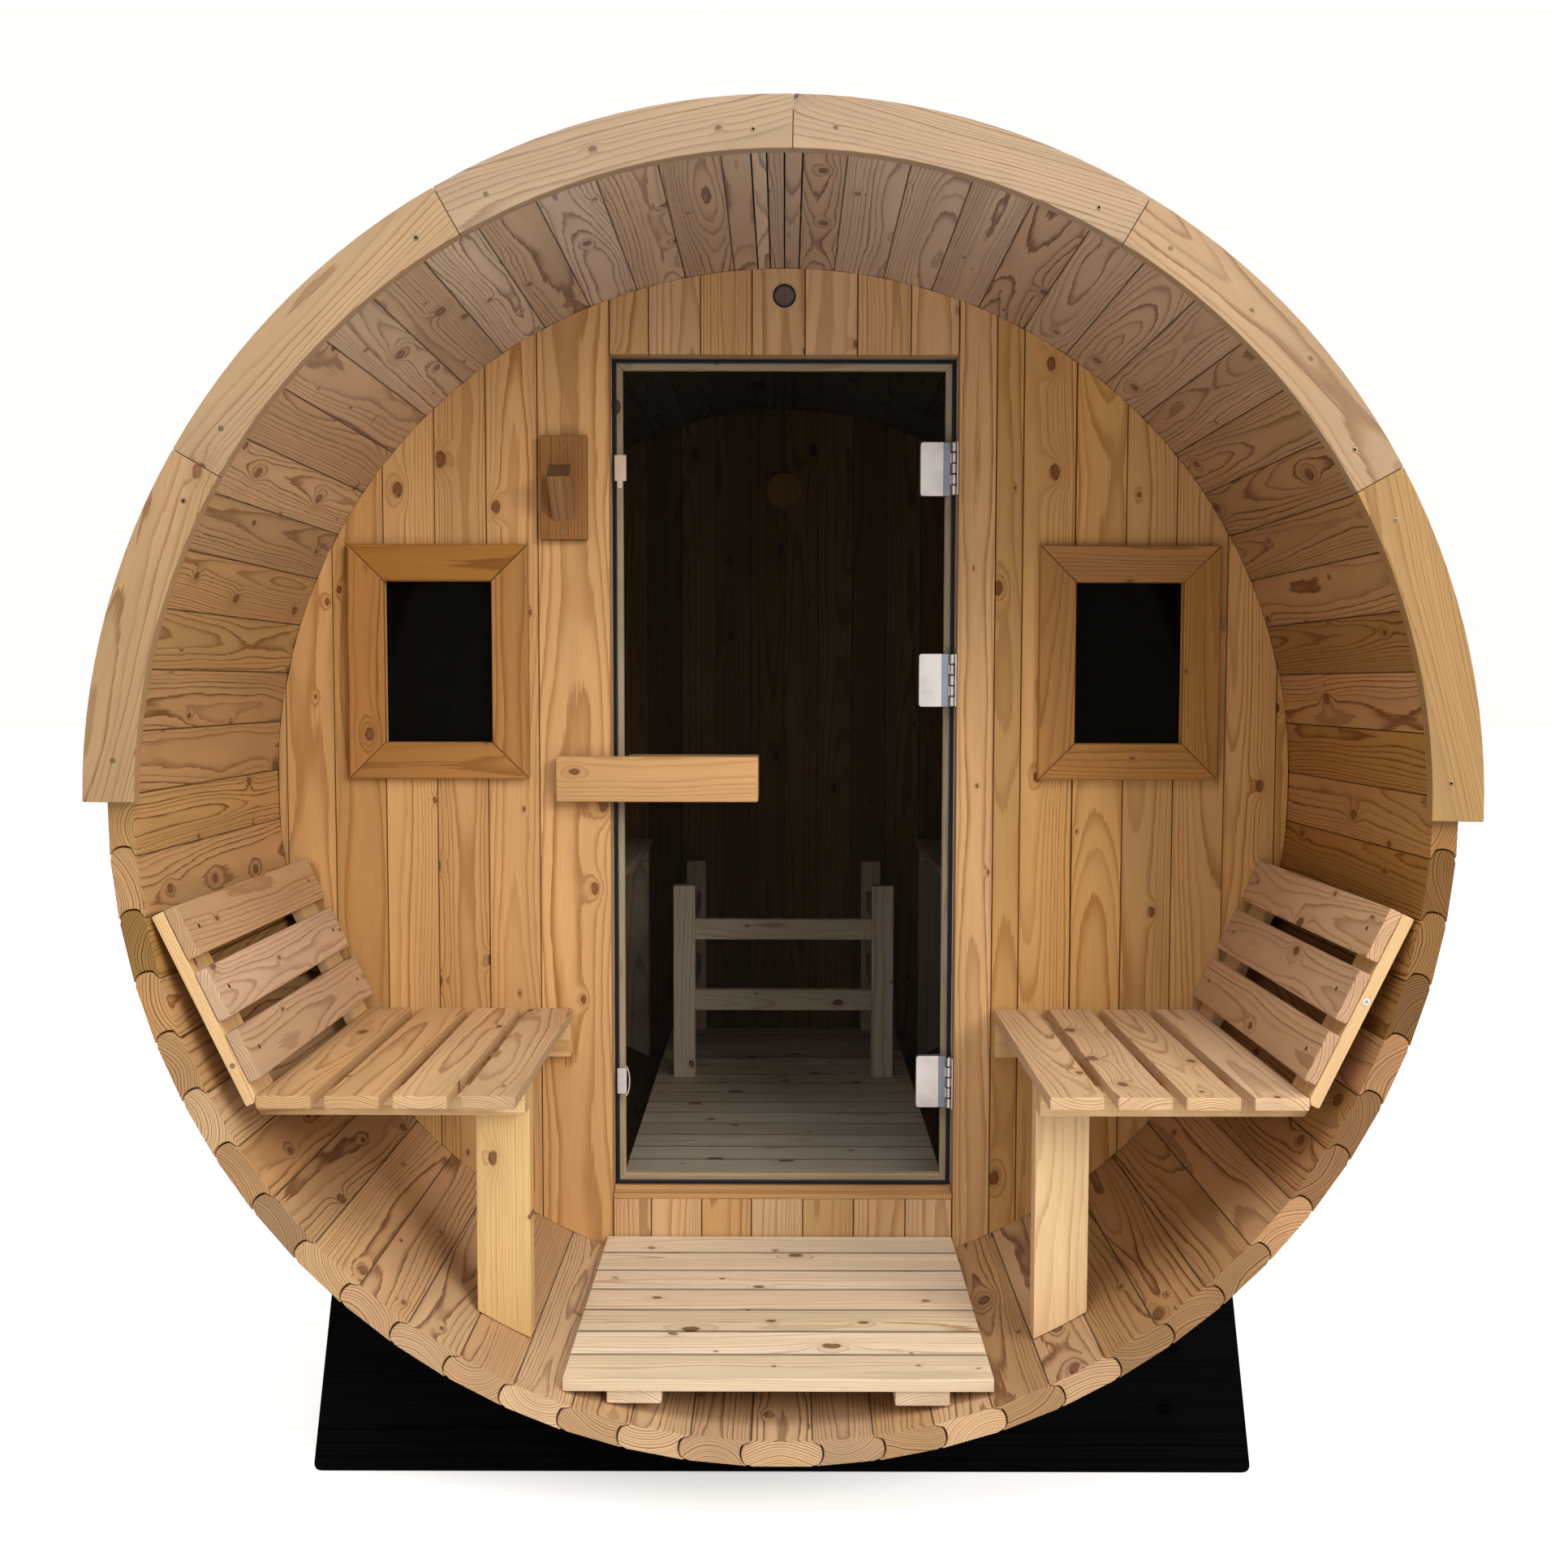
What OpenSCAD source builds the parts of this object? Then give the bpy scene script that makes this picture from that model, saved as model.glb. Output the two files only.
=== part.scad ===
// Barrel sauna with an open porch: a round cabin of staves that lies on two cradles,
// with a glazed door, two windows, porch benches and a slatted floor.
// +X is to the right of someone facing the door, +Y runs from the porch to the back, +Z is up.
// The ground is at Z = 0 and the barrel is centred over the origin.

/* [Barrel] */
// Outer diameter of the barrel, across the flats of the staves
barrel_d = 2120; // [2000:10:2300]
// Length of the staves
barrel_l = 2400; // [2200:10:3200]
// Thickness of the staves
stave_t = 42; // [36:1:48]
// Number of staves, odd so that one lies at the very bottom
stave_count = 65; // [57:2:73]

/* [Cradles] */
// Height of the barrel's lowest point above the ground
ground_clearance = 112; // [80:1:200]
// Width of a cradle on the ground
cradle_w = 1634; // [1400:2:1700]
// Lean of a cradle's sides from upright, in degrees
cradle_lean = 6.7; // [0:0.1:10]
// Thickness of a cradle, along the barrel
cradle_t = 70; // [45:1:120]
// Distance from each end of the barrel to its cradle
cradle_setback = 200; // [80:5:400]

/* [Fascia] */
// Number of curved boards in each fascia
fascia_boards = 6; // [4:1:10]
// Width of the fascia boards, across the curve
fascia_w = 81; // [70:1:100]
// Thickness of the fascia boards
fascia_t = 25; // [18:1:32]
// Reach of the fascia beyond the staves
fascia_reach = 29; // [20:1:40]
// Turn of the fascia from level, clockwise as seen from the front, in degrees
fascia_turn = 0.7; // [0:0.1:2]

/* [Roof and hoops] */
// Thickness of the roof covering
roof_t = 7; // [4:0.5:12]
// Thickness of the steel hoops
hoop_t = 1.5; // [1:0.1:2]
// Width of the steel hoops
hoop_w = 40; // [20:1:60]
// Distance from each end of the barrel to its hoop
hoop_setback = 480; // [420:5:700]

/* [Walls] */
// Depth of the porch, from the stave ends to the front wall
porch_depth = 700; // [690:5:900]
// Thickness of the front and back walls
wall_t = 42; // [36:1:50]
// Distance from the rear stave ends to the back wall
back_inset = 60; // [20:5:120]

/* [Door] */
// Width of the door opening
door_w = 694; // [620:2:760]
// Height of the door opening
door_h = 1686; // [1600:2:1700]
// Height of the door opening above the porch floor
door_rise = 95; // [90:1:110]
// Gap all round the door's glass
door_gap = 7; // [6:0.5:9]
// Thickness of the door's glass
door_glass_t = 8; // [6:1:10]
// Depth of the glass behind the face of the front wall
door_recess = 24; // [22:1:26]
// Cover of the door frame over the edges of the opening
frame_cover = 22; // [12:1:26]
// Width of the door frame's boards
frame_w = 70; // [50:1:80]
// Thickness of the door frame's boards
frame_t = 22; // [18:1:28]
// Thickness of the sill under the door
sill_t = 18; // [14:1:24]
// Step in the sill, from its front part to its rear part
sill_step = 8; // [4:1:10]
// Depth of the sill's front part
sill_front = 32; // [24:1:34]

/* [Hinges and catches] */
// Height of a hinge
hinge_h = 107; // [90:1:130]
// Width of the hinge plates on the glass
hinge_plate_w = 60; // [45:1:80]
// Thickness of the hinge plates
hinge_plate_t = 2.5; // [2:0.1:3]
// Diameter of the hinge knuckles
knuckle_d = 12; // [11:0.5:12]
// Diameter of the hinge pins
pin_d = 6; // [5:0.5:7]
// Distance from the top and bottom of the opening to the nearest hinge's middle
hinge_inset = 221; // [160:1:300]
// Distance from the top of the opening to the middle hinge
hinge_middle = 643; // [500:1:900]
// Width of a catch plate
catch_w = 24; // [18:1:30]
// Height of a catch plate
catch_h = 54; // [40:1:70]
// Thickness of a catch plate
catch_t = 3; // [2:0.5:5]

/* [Handle] */
// Length of the outer handle board
handle_l = 404; // [340:2:450]
// Height of the handle boards
handle_h = 91; // [70:1:110]
// Thickness of the handle boards
handle_t = 24; // [18:1:30]
// Reach of the outer handle past the edge of the opening
handle_overlap = 107; // [60:1:130]
// Clearance between the outer handle and the front wall
handle_clear = 12; // [8:1:20]
// Height of the handle's middle above the barrel's axis
handle_z = 9; // [-100:1:150]
// Length of the inner handle board
inner_handle_l = 268; // [220:2:280]
// Diameter of the handle's spacers
spacer_d = 22; // [16:1:30]

/* [Windows] */
// Width of the window openings
window_w = 214; // [160:2:230]
// Height of the window openings
window_h = 321; // [240:1:340]
// Distance from the barrel's axis to a window's middle, sideways
window_x = 689; // [670:1:700]
// Height of a window's middle above the barrel's axis
window_z = 242; // [150:1:260]
// Width of the window trim
trim_w = 73; // [50:1:76]
// Thickness of the window trim
trim_t = 20; // [14:1:25]
// Thickness of the window glass
window_glass_t = 16; // [6:1:24]
// Depth of the window glass behind the face of the front wall
window_recess = 6; // [2:1:14]

/* [Vents and robe hook] */
// Diameter of the front vent's rim
vent_d = 46; // [36:1:60]
// Distance from the barrel's inner top to the front vent's middle
vent_drop = 54; // [40:1:80]
// Diameter of the round valve on the back wall
valve_d = 110; // [90:1:140]
// Distance from the barrel's inner top to the valve's middle
valve_drop = 240; // [160:5:400]
// Width of the robe hook's plate
hook_w = 92; // [70:1:110]
// Height of the robe hook's plate
hook_h = 205; // [160:1:240]
// Thickness of the robe hook's plate
hook_t = 22; // [16:1:28]
// Height of the hook plate's middle above the barrel's axis
hook_z = 586; // [500:1:620]
// Distance from the door opening to the hook plate's middle
hook_x = 89; // [60:1:110]
// Length of the hook's peg
peg_l = 110; // [80:1:140]
// Width of the hook's peg
peg_w = 45; // [30:1:60]

/* [Porch benches] */
// Height of the bench seats above the porch floor
seat_h = 473; // [420:1:480]
// Distance from the barrel's axis to a seat's inner edge
seat_inner = 426; // [420:1:440]
// Width of the bench slats
slat_w = 88; // [70:1:92]
// Thickness of the bench slats
slat_t = 22; // [18:1:28]
// Gap between bench slats
slat_gap = 21; // [12:1:22]
// Number of slats in a porch seat
seat_slats = 4; // [3:1:4]
// Number of slats in a porch bench's back
back_slats = 3; // [2:1:3]
// Lean of the bench backs from upright, in degrees
back_lean = 25.3; // [22:0.1:27]
// Distance from the stave ends to the front of the benches
bench_setback = 10; // [5:1:40]
// Distance from the stave ends to the front bearer
bearer_setback = 128; // [110:1:200]
// Side of the square bearers
bearer_s = 42; // [36:1:48]
// Height of the ledger on the wall
ledger_h = 70; // [45:1:90]
// Width of the bench legs and back uprights
leg_w = 92; // [70:1:95]

/* [Porch floor] */
// Width of the porch floor
porch_floor_w = 704; // [640:2:760]
// Shift of the porch floor towards the left
porch_floor_shift = 6; // [0:1:10]
// Width of the floor boards
board_w = 92; // [80:1:110]
// Thickness of the floor boards
board_t = 22; // [18:1:28]
// Gap between floor boards
board_gap = 3; // [2:0.5:8]
// Number of boards in the porch floor
porch_boards = 7; // [5:1:7]
// Width of the floor runners
runner_w = 90; // [60:1:110]
// Distance from the middle of a floor to the middle of its runners
runner_x = 236; // [180:1:250]

/* [Cabin] */
// Drop of the cabin floor below the door opening
cabin_floor_drop = 14; // [12:1:30]
// Width of the cabin floor
cabin_floor_w = 680; // [620:2:720]
// Height of the inner benches above the cabin floor
inner_seat_h = 580; // [450:5:620]
// Distance from the barrel's axis to an inner bench's edge
inner_seat_x = 400; // [380:1:450]
// Number of slats in an inner bench
inner_slats = 5; // [4:1:5]
// Width of the heater guard
guard_w = 585; // [480:5:620]
// Depth of the heater guard
guard_d = 620; // [450:5:700]
// Height of the heater guard
guard_h = 515; // [400:5:650]
// Width of the guard's posts, as seen from the door
post_w = 58; // [42:1:70]
// Depth of the guard's posts
post_d = 42; // [36:1:60]
// Height of the guard's rails
rail_h = 55; // [40:1:70]
// Thickness of the guard's rails
rail_t = 28; // [20:1:36]
// Distance from the top of the guard to its upper rail
rail_drop = 90; // [40:5:120]
// Distance between the tops of the guard's rails
rail_pitch = 190; // [120:5:220]

/* [Hidden] */
$fn = 360;

// Clearance between pieces that seat on each other
fit = 0.3;
// Clearance round a hinge pin and between hinge knuckles
pin_fit = 0.4;

// Barrel
r_out = barrel_d / 2;
r_in = r_out - stave_t;
r_fit = r_in - fit;
half_pitch = 180 / stave_count;
r_corner = r_out / cos(half_pitch);
axis_z = r_out + ground_clearance;
front_y = -barrel_l / 2;
rear_y = barrel_l / 2;
// Last stave of the bottom quarter and of the right quarter, counted from the lowest stave
bottom_last = floor(stave_count / 8);
side_last = floor(stave_count * 3 / 8);
// Number of staves on each side of the top that the roof covers
roof_staves = floor(stave_count / 4);
top_first = (stave_count + 1) / 2;
roof_r = r_out + hoop_t + 2 * fit;
fascia_r = r_out + fascia_reach;

// Walls, with heights measured from the barrel's axis
wall_y = front_y + porch_depth;
wall_in_y = wall_y + wall_t;
back_in_y = rear_y - back_inset - wall_t;

// Porch floor, whose boards rest with their lower corners on the staves
porch_floor_reach = porch_floor_w / 2 + porch_floor_shift;
porch_floor_bottom = -sqrt(pow(r_fit, 2) - pow(porch_floor_reach, 2));
porch_floor_top = porch_floor_bottom + board_t;
board_pitch = board_w + board_gap;
porch_floor_y = wall_y - porch_boards * board_pitch;

// Door
door_bottom = porch_floor_top + door_rise;
door_top = door_bottom + door_h;
glass_w = door_w - 2 * door_gap;
glass_y = wall_y + door_recess;
glass_back_y = glass_y + door_glass_t;
frame_open_w = door_w - 2 * frame_cover;
frame_bottom = door_bottom + frame_cover - frame_w;
frame_back_y = wall_in_y + fit + frame_t;

// Hinge axis, just in front of the glass at its right edge
knuckle_r = knuckle_d / 2;
hinge_x = door_w / 2 - door_gap;
hinge_y = glass_y - knuckle_r - 2;
knuckles = 5;
knuckle_h = hinge_h / knuckles;
hinge_heights = [door_bottom + hinge_inset, door_top - hinge_middle, door_top - hinge_inset];
// Heights of the two catches, level with the lowest and highest hinges
catch_heights = [door_bottom + hinge_inset, door_top - hinge_inset];

// Porch benches
slat_pitch = slat_w + slat_gap;
seat_top = porch_floor_top + seat_h;
seat_outer = seat_inner + seat_slats * slat_pitch - slat_gap;
bench_y = front_y + bench_setback;
bench_back_y = wall_y - 5;
bearer_top = seat_top - slat_t - fit;
back_l = back_slats * slat_pitch + slat_t / 2;
upright_t = slat_t;

// Cabin
cabin_floor_top = door_bottom - cabin_floor_drop;
cabin_floor_y = frame_back_y + 4;
cabin_boards = floor((back_in_y - cabin_floor_y) / board_pitch);
inner_seat_top = cabin_floor_top + inner_seat_h;
inner_bearer_top = inner_seat_top - slat_t - fit;
inner_bench_y = frame_back_y + 6;
inner_bench_back_y = back_in_y - fit;
inner_bearer_ys = [
    inner_bench_y + 10,
    (inner_bench_y + inner_bench_back_y - bearer_s) / 2,
    inner_bench_back_y - bearer_s
];

stave_wood = "#b07c48";
wall_wood = "#c48f57";
trim_wood = "#b98350";
fascia_wood = "#d6a871";
bench_wood = "#dcb582";
floor_wood = "#e0c399";
black_wood = "#1f1b18";
steel = "#b9bdc1";
roof_felt = "#3c3c3e";
tinted_glass = "#35332d";

// Extrudes an outline drawn across the barrel, with its origin on the axis, from y0 to y1
module along_y(y0, y1) {
    translate([0, y1, axis_z])
        rotate([90, 0, 0])
            linear_extrude(y1 - y0)
                children();
}

// Extrudes an outline drawn in side view, with heights from the axis, from x0 to x1
module along_x(x0, x1) {
    translate([x0, 0, axis_z])
        rotate([90, 0, 90])
            linear_extrude(x1 - x0)
                children();
}

// A board between two corners, with heights from the axis
module board(low, high) {
    translate([low[0], low[1], axis_z + low[2]])
        cube(high - low);
}

// Keeps what lies inside the staves
module inside_barrel() {
    intersection() {
        children();
        along_y(front_y, rear_y)
            circle(r_fit);
    }
}

// One flat of the barrel at place i, counted from the lowest one, between two distances from the axis
module stave_outline(i, inner, outer) {
    half_in = inner * tan(half_pitch) - fit / 2;
    half_out = outer * tan(half_pitch) - fit / 2;
    rotate(2 * half_pitch * i)
        polygon([[-half_in, -inner], [half_in, -inner], [half_out, -outer], [-half_out, -outer]]);
}

module staves(first, last) {
    color(stave_wood)
        for (i = [first : last])
            along_y(front_y, rear_y)
                stave_outline(i, r_in, r_out);
}

module bottom_staves() { staves(-bottom_last, bottom_last); }
module left_staves() { staves(-side_last, -bottom_last - 1); }
module right_staves() { staves(bottom_last + 1, side_last); }
module top_staves() { staves(side_last + 1, stave_count - side_last - 1); }

// A stretch of a ring between two angles, counted from the right-hand side
module ring_stretch(inner, outer, from_angle, to_angle) {
    reach = 2 * outer;
    intersection() {
        difference() {
            circle(outer);
            circle(inner);
        }
        polygon([
            [0, 0],
            [reach * cos(from_angle), reach * sin(from_angle)],
            [reach * cos(to_angle), reach * sin(to_angle)]
        ]);
    }
}

// The curved boards over the upper half of one end of the barrel
module fascia(y0) {
    board_angle = 180 / fascia_boards;
    gap_angle = fit / fascia_r * 180 / PI;
    color(fascia_wood)
        for (k = [0 : fascia_boards - 1]) {
            start = k * board_angle - fascia_turn;
            along_y(y0, y0 + fascia_t)
                ring_stretch(fascia_r - fascia_w, fascia_r, start + gap_angle, start + board_angle - gap_angle);
        }
}

module front_fascia() { fascia(front_y - fit - fascia_t); }
module rear_fascia() { fascia(rear_y + fit); }

// The roof covering lies over the hoops in strips, one to each stave
module roof_covering() {
    color(roof_felt)
        for (i = [top_first - roof_staves : top_first + roof_staves - 1])
            along_y(front_y, rear_y)
                stave_outline(i, roof_r, roof_r + roof_t);
}

module hoop(y) {
    seat_r = (r_out + fit) / cos(half_pitch);
    along_y(y - hoop_w / 2, y + hoop_w / 2)
        difference() {
            stave_ring((r_out + fit + hoop_t) / cos(half_pitch));
            stave_ring(seat_r);
        }
}

// The outline of the whole barrel as a polygon with its corners at a given distance
module stave_ring(corner_r) {
    polygon([for (i = [0 : stave_count - 1])
        let (a = 2 * half_pitch * i - 90 + half_pitch)
        [corner_r * cos(a), corner_r * sin(a)]]);
}

module barrel_hoops() {
    color(steel) {
        hoop(front_y + hoop_setback);
        hoop(rear_y - hoop_setback);
    }
}

module window_outline(margin) {
    translate([window_x - window_w / 2 - margin, window_z - window_h / 2 - margin])
        square([window_w + 2 * margin, window_h + 2 * margin]);
}

// The wall to the right of the door, with its window cut out
module wall_beside_door() {
    color(wall_wood)
        along_y(wall_y, wall_in_y)
            difference() {
                intersection() {
                    circle(r_fit);
                    translate([door_w / 2, -r_out])
                        square(2 * r_out);
                }
                window_outline(0);
            }
}

module front_wall_right() { wall_beside_door(); }
module front_wall_left() { mirror([1, 0, 0]) wall_beside_door(); }

// A stretch of the front wall between the two door jambs
module wall_across(low, high) {
    intersection() {
        circle(r_fit);
        translate([fit - door_w / 2, low])
            square([door_w - 2 * fit, high - low]);
    }
}

module front_wall_over_door() {
    color(wall_wood)
        along_y(wall_y, wall_in_y)
            difference() {
                wall_across(door_top, r_out);
                translate([0, r_in - vent_drop])
                    circle(d = vent_sleeve_d + 2 * fit);
            }
}

module front_wall_under_door() {
    color(wall_wood)
        along_y(wall_y, wall_in_y)
            wall_across(-r_out, door_bottom - sill_t);
}

module back_wall() {
    color(wall_wood)
        along_y(back_in_y, back_in_y + wall_t)
            difference() {
                circle(r_fit);
                translate([0, r_in - valve_drop])
                    circle(d = valve_d / 2 + 2 * fit);
            }
}

// The sill has a low front part and a step up to the rear part
module door_sill() {
    low = door_bottom - sill_t + fit;
    color(floor_wood)
        along_x(2 * fit - door_w / 2, door_w / 2 - 2 * fit)
            polygon([
                [wall_y, low],
                [wall_in_y, low],
                [wall_in_y, door_bottom],
                [wall_y + sill_front, door_bottom],
                [wall_y + sill_front, door_bottom - sill_step],
                [wall_y, door_bottom - sill_step]
            ]);
}

// The frame behind the wall, which the door's glass closes against
module door_frame() {
    frame_h = door_h - 2 * frame_cover;
    color(trim_wood)
        along_y(wall_in_y + fit, frame_back_y)
            difference() {
                translate([-frame_open_w / 2 - frame_w, frame_bottom])
                    square([frame_open_w + 2 * frame_w, frame_h + 2 * frame_w]);
                translate([-frame_open_w / 2, frame_bottom + frame_w])
                    square([frame_open_w, frame_h]);
            }
}

module window_trim() {
    color(trim_wood)
        along_y(wall_y - fit - trim_t, wall_y - fit)
            difference() {
                window_outline(trim_w);
                window_outline(0);
            }
}

module right_window_trim() { window_trim(); }
module left_window_trim() { mirror([1, 0, 0]) window_trim(); }

module window_glass() {
    glass_front = wall_y + window_recess;
    color(tinted_glass)
        along_y(glass_front, glass_front + window_glass_t)
            window_outline(-fit);
}

module right_window_glass() { window_glass(); }
module left_window_glass() { mirror([1, 0, 0]) window_glass(); }

// The vent over the door: a rim on the wall, a sleeve through it and a thin gauze
vent_sleeve_d = vent_d - 8;
vent_rim_t = 3;
vent_wall = 2;
gauze_t = 1;

module front_vent() {
    color(black_wood)
        translate([0, 0, r_in - vent_drop]) {
            along_y(wall_y - fit - vent_rim_t, wall_y - fit)
                difference() {
                    circle(d = vent_d);
                    circle(d = vent_sleeve_d - 2 * vent_wall);
                }
            along_y(wall_y - fit - vent_rim_t, wall_in_y)
                difference() {
                    circle(d = vent_sleeve_d);
                    circle(d = vent_sleeve_d - 2 * vent_wall);
                }
            along_y(wall_y - fit - gauze_t, wall_y - fit)
                circle(d = vent_sleeve_d);
        }
}

// The wooden valve on the back wall: a knob on a stem that fills the hole behind it
valve_t = 20;

module rear_valve() {
    color(trim_wood)
        translate([0, 0, r_in - valve_drop]) {
            along_y(back_in_y - fit - valve_t, back_in_y - fit)
                circle(d = valve_d);
            along_y(back_in_y - fit - valve_t, back_in_y + wall_t)
                circle(d = valve_d / 2);
        }
}

// The robe hook: a plate with a square-ended peg that slants up and out from its lower half
peg_slant = 45;
peg_t = 40;
peg_foot = 36;

module robe_hook() {
    plate_x = -door_w / 2 - hook_x;
    plate_back = wall_y - fit;
    plate_front = plate_back - hook_t;
    peg_low = [plate_front + 1, hook_z - hook_h / 2 + peg_foot];
    peg_high = peg_low + [0, peg_t / cos(peg_slant)];
    slant = [-cos(peg_slant), sin(peg_slant)];
    upper_l = peg_l - peg_t * tan(peg_slant);
    color(trim_wood) {
        board(
            [plate_x - hook_w / 2, plate_front, hook_z - hook_h / 2],
            [plate_x + hook_w / 2, plate_back, hook_z + hook_h / 2]
        );
        along_x(plate_x - peg_w / 2, plate_x + peg_w / 2)
            polygon([peg_low, peg_high, peg_high + upper_l * slant, peg_low + peg_l * slant]);
    }
}

// One knuckle of a hinge, counted from the bottom of the hinge at height z
module knuckle(z, k) {
    translate([hinge_x, hinge_y, axis_z + z - hinge_h / 2 + k * knuckle_h + pin_fit / 2])
        cylinder(d = knuckle_d, h = knuckle_h - pin_fit);
}

module hinge_pin(z, d) {
    translate([hinge_x, hinge_y, axis_z + z - hinge_h / 2 + pin_fit / 2])
        cylinder(d = d, h = hinge_h - pin_fit);
}

// The hinge halves on the right jamb, each with three knuckles and the pin
module frame_hinges() {
    leaf_x = door_w / 2 - fit;
    leaf_y = hinge_y - knuckle_r - 1;
    color(steel)
        for (z = hinge_heights) {
            hinge_pin(z, pin_d);
            board(
                [leaf_x - hinge_plate_t, wall_y + 1, z - hinge_h / 2 + pin_fit / 2],
                [leaf_x, leaf_y, z + hinge_h / 2 - pin_fit / 2]
            );
            for (k = [0 : 2 : knuckles - 1]) {
                low = z - hinge_h / 2 + k * knuckle_h + pin_fit / 2;
                knuckle(z, k);
                board(
                    [leaf_x - hinge_plate_t, leaf_y - 1, low],
                    [leaf_x, hinge_y, low + knuckle_h - pin_fit]
                );
            }
        }
}

// The hinge halves on the glass, each with two bored knuckles, and their plates behind the glass
module door_hinges() {
    plate_x = hinge_x - knuckle_r - 1;
    color(steel)
        for (z = hinge_heights) {
            difference() {
                union() {
                    board(
                        [plate_x - hinge_plate_w, glass_y - fit - hinge_plate_t, z - hinge_h / 2],
                        [plate_x, glass_y - fit, z + hinge_h / 2]
                    );
                    for (k = [1 : 2 : knuckles - 2]) {
                        low = z - hinge_h / 2 + k * knuckle_h + pin_fit / 2;
                        knuckle(z, k);
                        board(
                            [plate_x - 1, hinge_y, low],
                            [hinge_x, glass_y - fit, low + knuckle_h - pin_fit]
                        );
                    }
                }
                hinge_pin(z, pin_d + 2 * pin_fit);
            }
            board(
                [plate_x - hinge_plate_w, glass_back_y + fit, z - hinge_h / 2],
                [plate_x - door_gap, glass_back_y + fit + hinge_plate_t, z + hinge_h / 2]
            );
        }
}

module door_glass() {
    color(tinted_glass)
        board(
            [-glass_w / 2, glass_y, door_bottom + door_gap],
            [glass_w / 2, glass_back_y, door_top - door_gap]
        );
}

// The handle: a long board outside and a short one inside, each on two round spacers
module door_handle() {
    outer_x = -door_w / 2 - handle_overlap;
    inner_x = outer_x + handle_l;
    outer_back = wall_y - handle_clear;
    inner_front = glass_back_y + handle_t;
    spacer_xs = [inner_x - inner_handle_l * 0.8, inner_x - inner_handle_l * 0.2];
    color(bench_wood) {
        board(
            [outer_x, outer_back - handle_t, handle_z - handle_h / 2],
            [inner_x, outer_back, handle_z + handle_h / 2]
        );
        board(
            [inner_x - inner_handle_l, inner_front, handle_z - handle_h / 2],
            [inner_x, inner_front + handle_t, handle_z + handle_h / 2]
        );
        for (x = spacer_xs)
            translate([x, 0, handle_z]) {
                along_y(outer_back - 1, glass_y - fit)
                    circle(d = spacer_d);
                along_y(glass_back_y + fit, inner_front + 1)
                    circle(d = spacer_d);
            }
    }
}

module door_catches() {
    color(steel)
        for (z = catch_heights)
            board(
                [-glass_w / 2, glass_y - fit - catch_t, z - catch_h / 2],
                [catch_w - glass_w / 2, glass_y - fit, z + catch_h / 2]
            );
}

// Slats side by side from x0 outwards, along the barrel
module slat_row(count, x0, top, y0, y1) {
    for (k = [0 : count - 1])
        board(
            [x0 + k * slat_pitch, y0, top - slat_t],
            [x0 + k * slat_pitch + slat_w, y1, top]
        );
}

// Places a bench back: its foot at the seat's outer top edge, leaning out with the barrel
module lean_back() {
    translate([seat_outer + fit, 0, axis_z + seat_top])
        rotate([0, back_lean, 0])
            children();
}

module porch_bench_slats() {
    first_back_slat = slat_gap;
    color(bench_wood) {
        slat_row(seat_slats, seat_inner, seat_top, bench_y, bench_back_y);
        lean_back()
            for (k = [0 : back_slats - 1])
                translate([-fit - slat_t, bench_y, first_back_slat + k * slat_pitch])
                    cube([slat_t, bench_back_y - bench_y, slat_w]);
    }
}

module right_bench_slats() { porch_bench_slats(); }
module left_bench_slats() { mirror([1, 0, 0]) porch_bench_slats(); }

// Bearer, ledger, leg and back uprights of the bench on the right
module porch_bench_frame() {
    bearer_y = front_y + bearer_setback;
    leg_y = bearer_y + bearer_s + fit;
    ledger_y = wall_y - fit;
    upright_ys = [bench_y + 2, bench_back_y - leg_w - 8];
    bearer_x = seat_inner + 4;
    color(bench_wood)
        inside_barrel() {
            board([bearer_x, bearer_y, bearer_top - bearer_s], [r_out, bearer_y + bearer_s, bearer_top]);
            board([seat_inner, ledger_y - bearer_s, bearer_top - ledger_h], [seat_outer, ledger_y, bearer_top]);
            board([bearer_x, leg_y, -r_out], [bearer_x + leg_w, leg_y + bearer_s, bearer_top]);
            // Each upright's foot is notched round the outer seat slat
            for (y = upright_ys)
                difference() {
                    lean_back()
                        translate([0, y, -slat_t / 2])
                            cube([upright_t, leg_w, back_l]);
                    board([seat_inner, bench_y, bearer_top - bearer_s], [seat_outer + fit, bench_back_y, seat_top]);
                }
        }
}

module right_bench_frame() { porch_bench_frame(); }
module left_bench_frame() { mirror([1, 0, 0]) porch_bench_frame(); }

// Floor boards across the barrel, from y0 towards the back
module floor_boards(count, y0, half_w, shift, top) {
    for (k = [0 : count - 1])
        board(
            [-half_w - shift, y0 + k * board_pitch, top - board_t],
            [half_w - shift, y0 + k * board_pitch + board_w, top]
        );
}

// Two runners along the barrel, cut to its curve, under floor boards
module floor_runners(y0, y1, shift, top) {
    inside_barrel()
        for (side = [-1, 1]) {
            x = side * runner_x - shift;
            board([x - runner_w / 2, y0, -r_out], [x + runner_w / 2, y1, top]);
        }
}

module porch_floor_boards() {
    color(floor_wood)
        floor_boards(porch_boards, porch_floor_y, porch_floor_w / 2, porch_floor_shift, porch_floor_top);
}

module porch_floor_runners() {
    color(floor_wood)
        floor_runners(porch_floor_y + 8, wall_y - fit, porch_floor_shift, porch_floor_bottom - fit);
}

module cabin_floor_boards() {
    color(floor_wood)
        floor_boards(cabin_boards, cabin_floor_y, cabin_floor_w / 2, 0, cabin_floor_top);
}

module cabin_floor_runners() {
    color(floor_wood)
        floor_runners(cabin_floor_y, back_in_y - fit, 0, cabin_floor_top - board_t - fit);
}

module inner_bench_slats() {
    color(bench_wood)
        slat_row(inner_slats, inner_seat_x, inner_seat_top, inner_bench_y, inner_bench_back_y);
}

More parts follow.
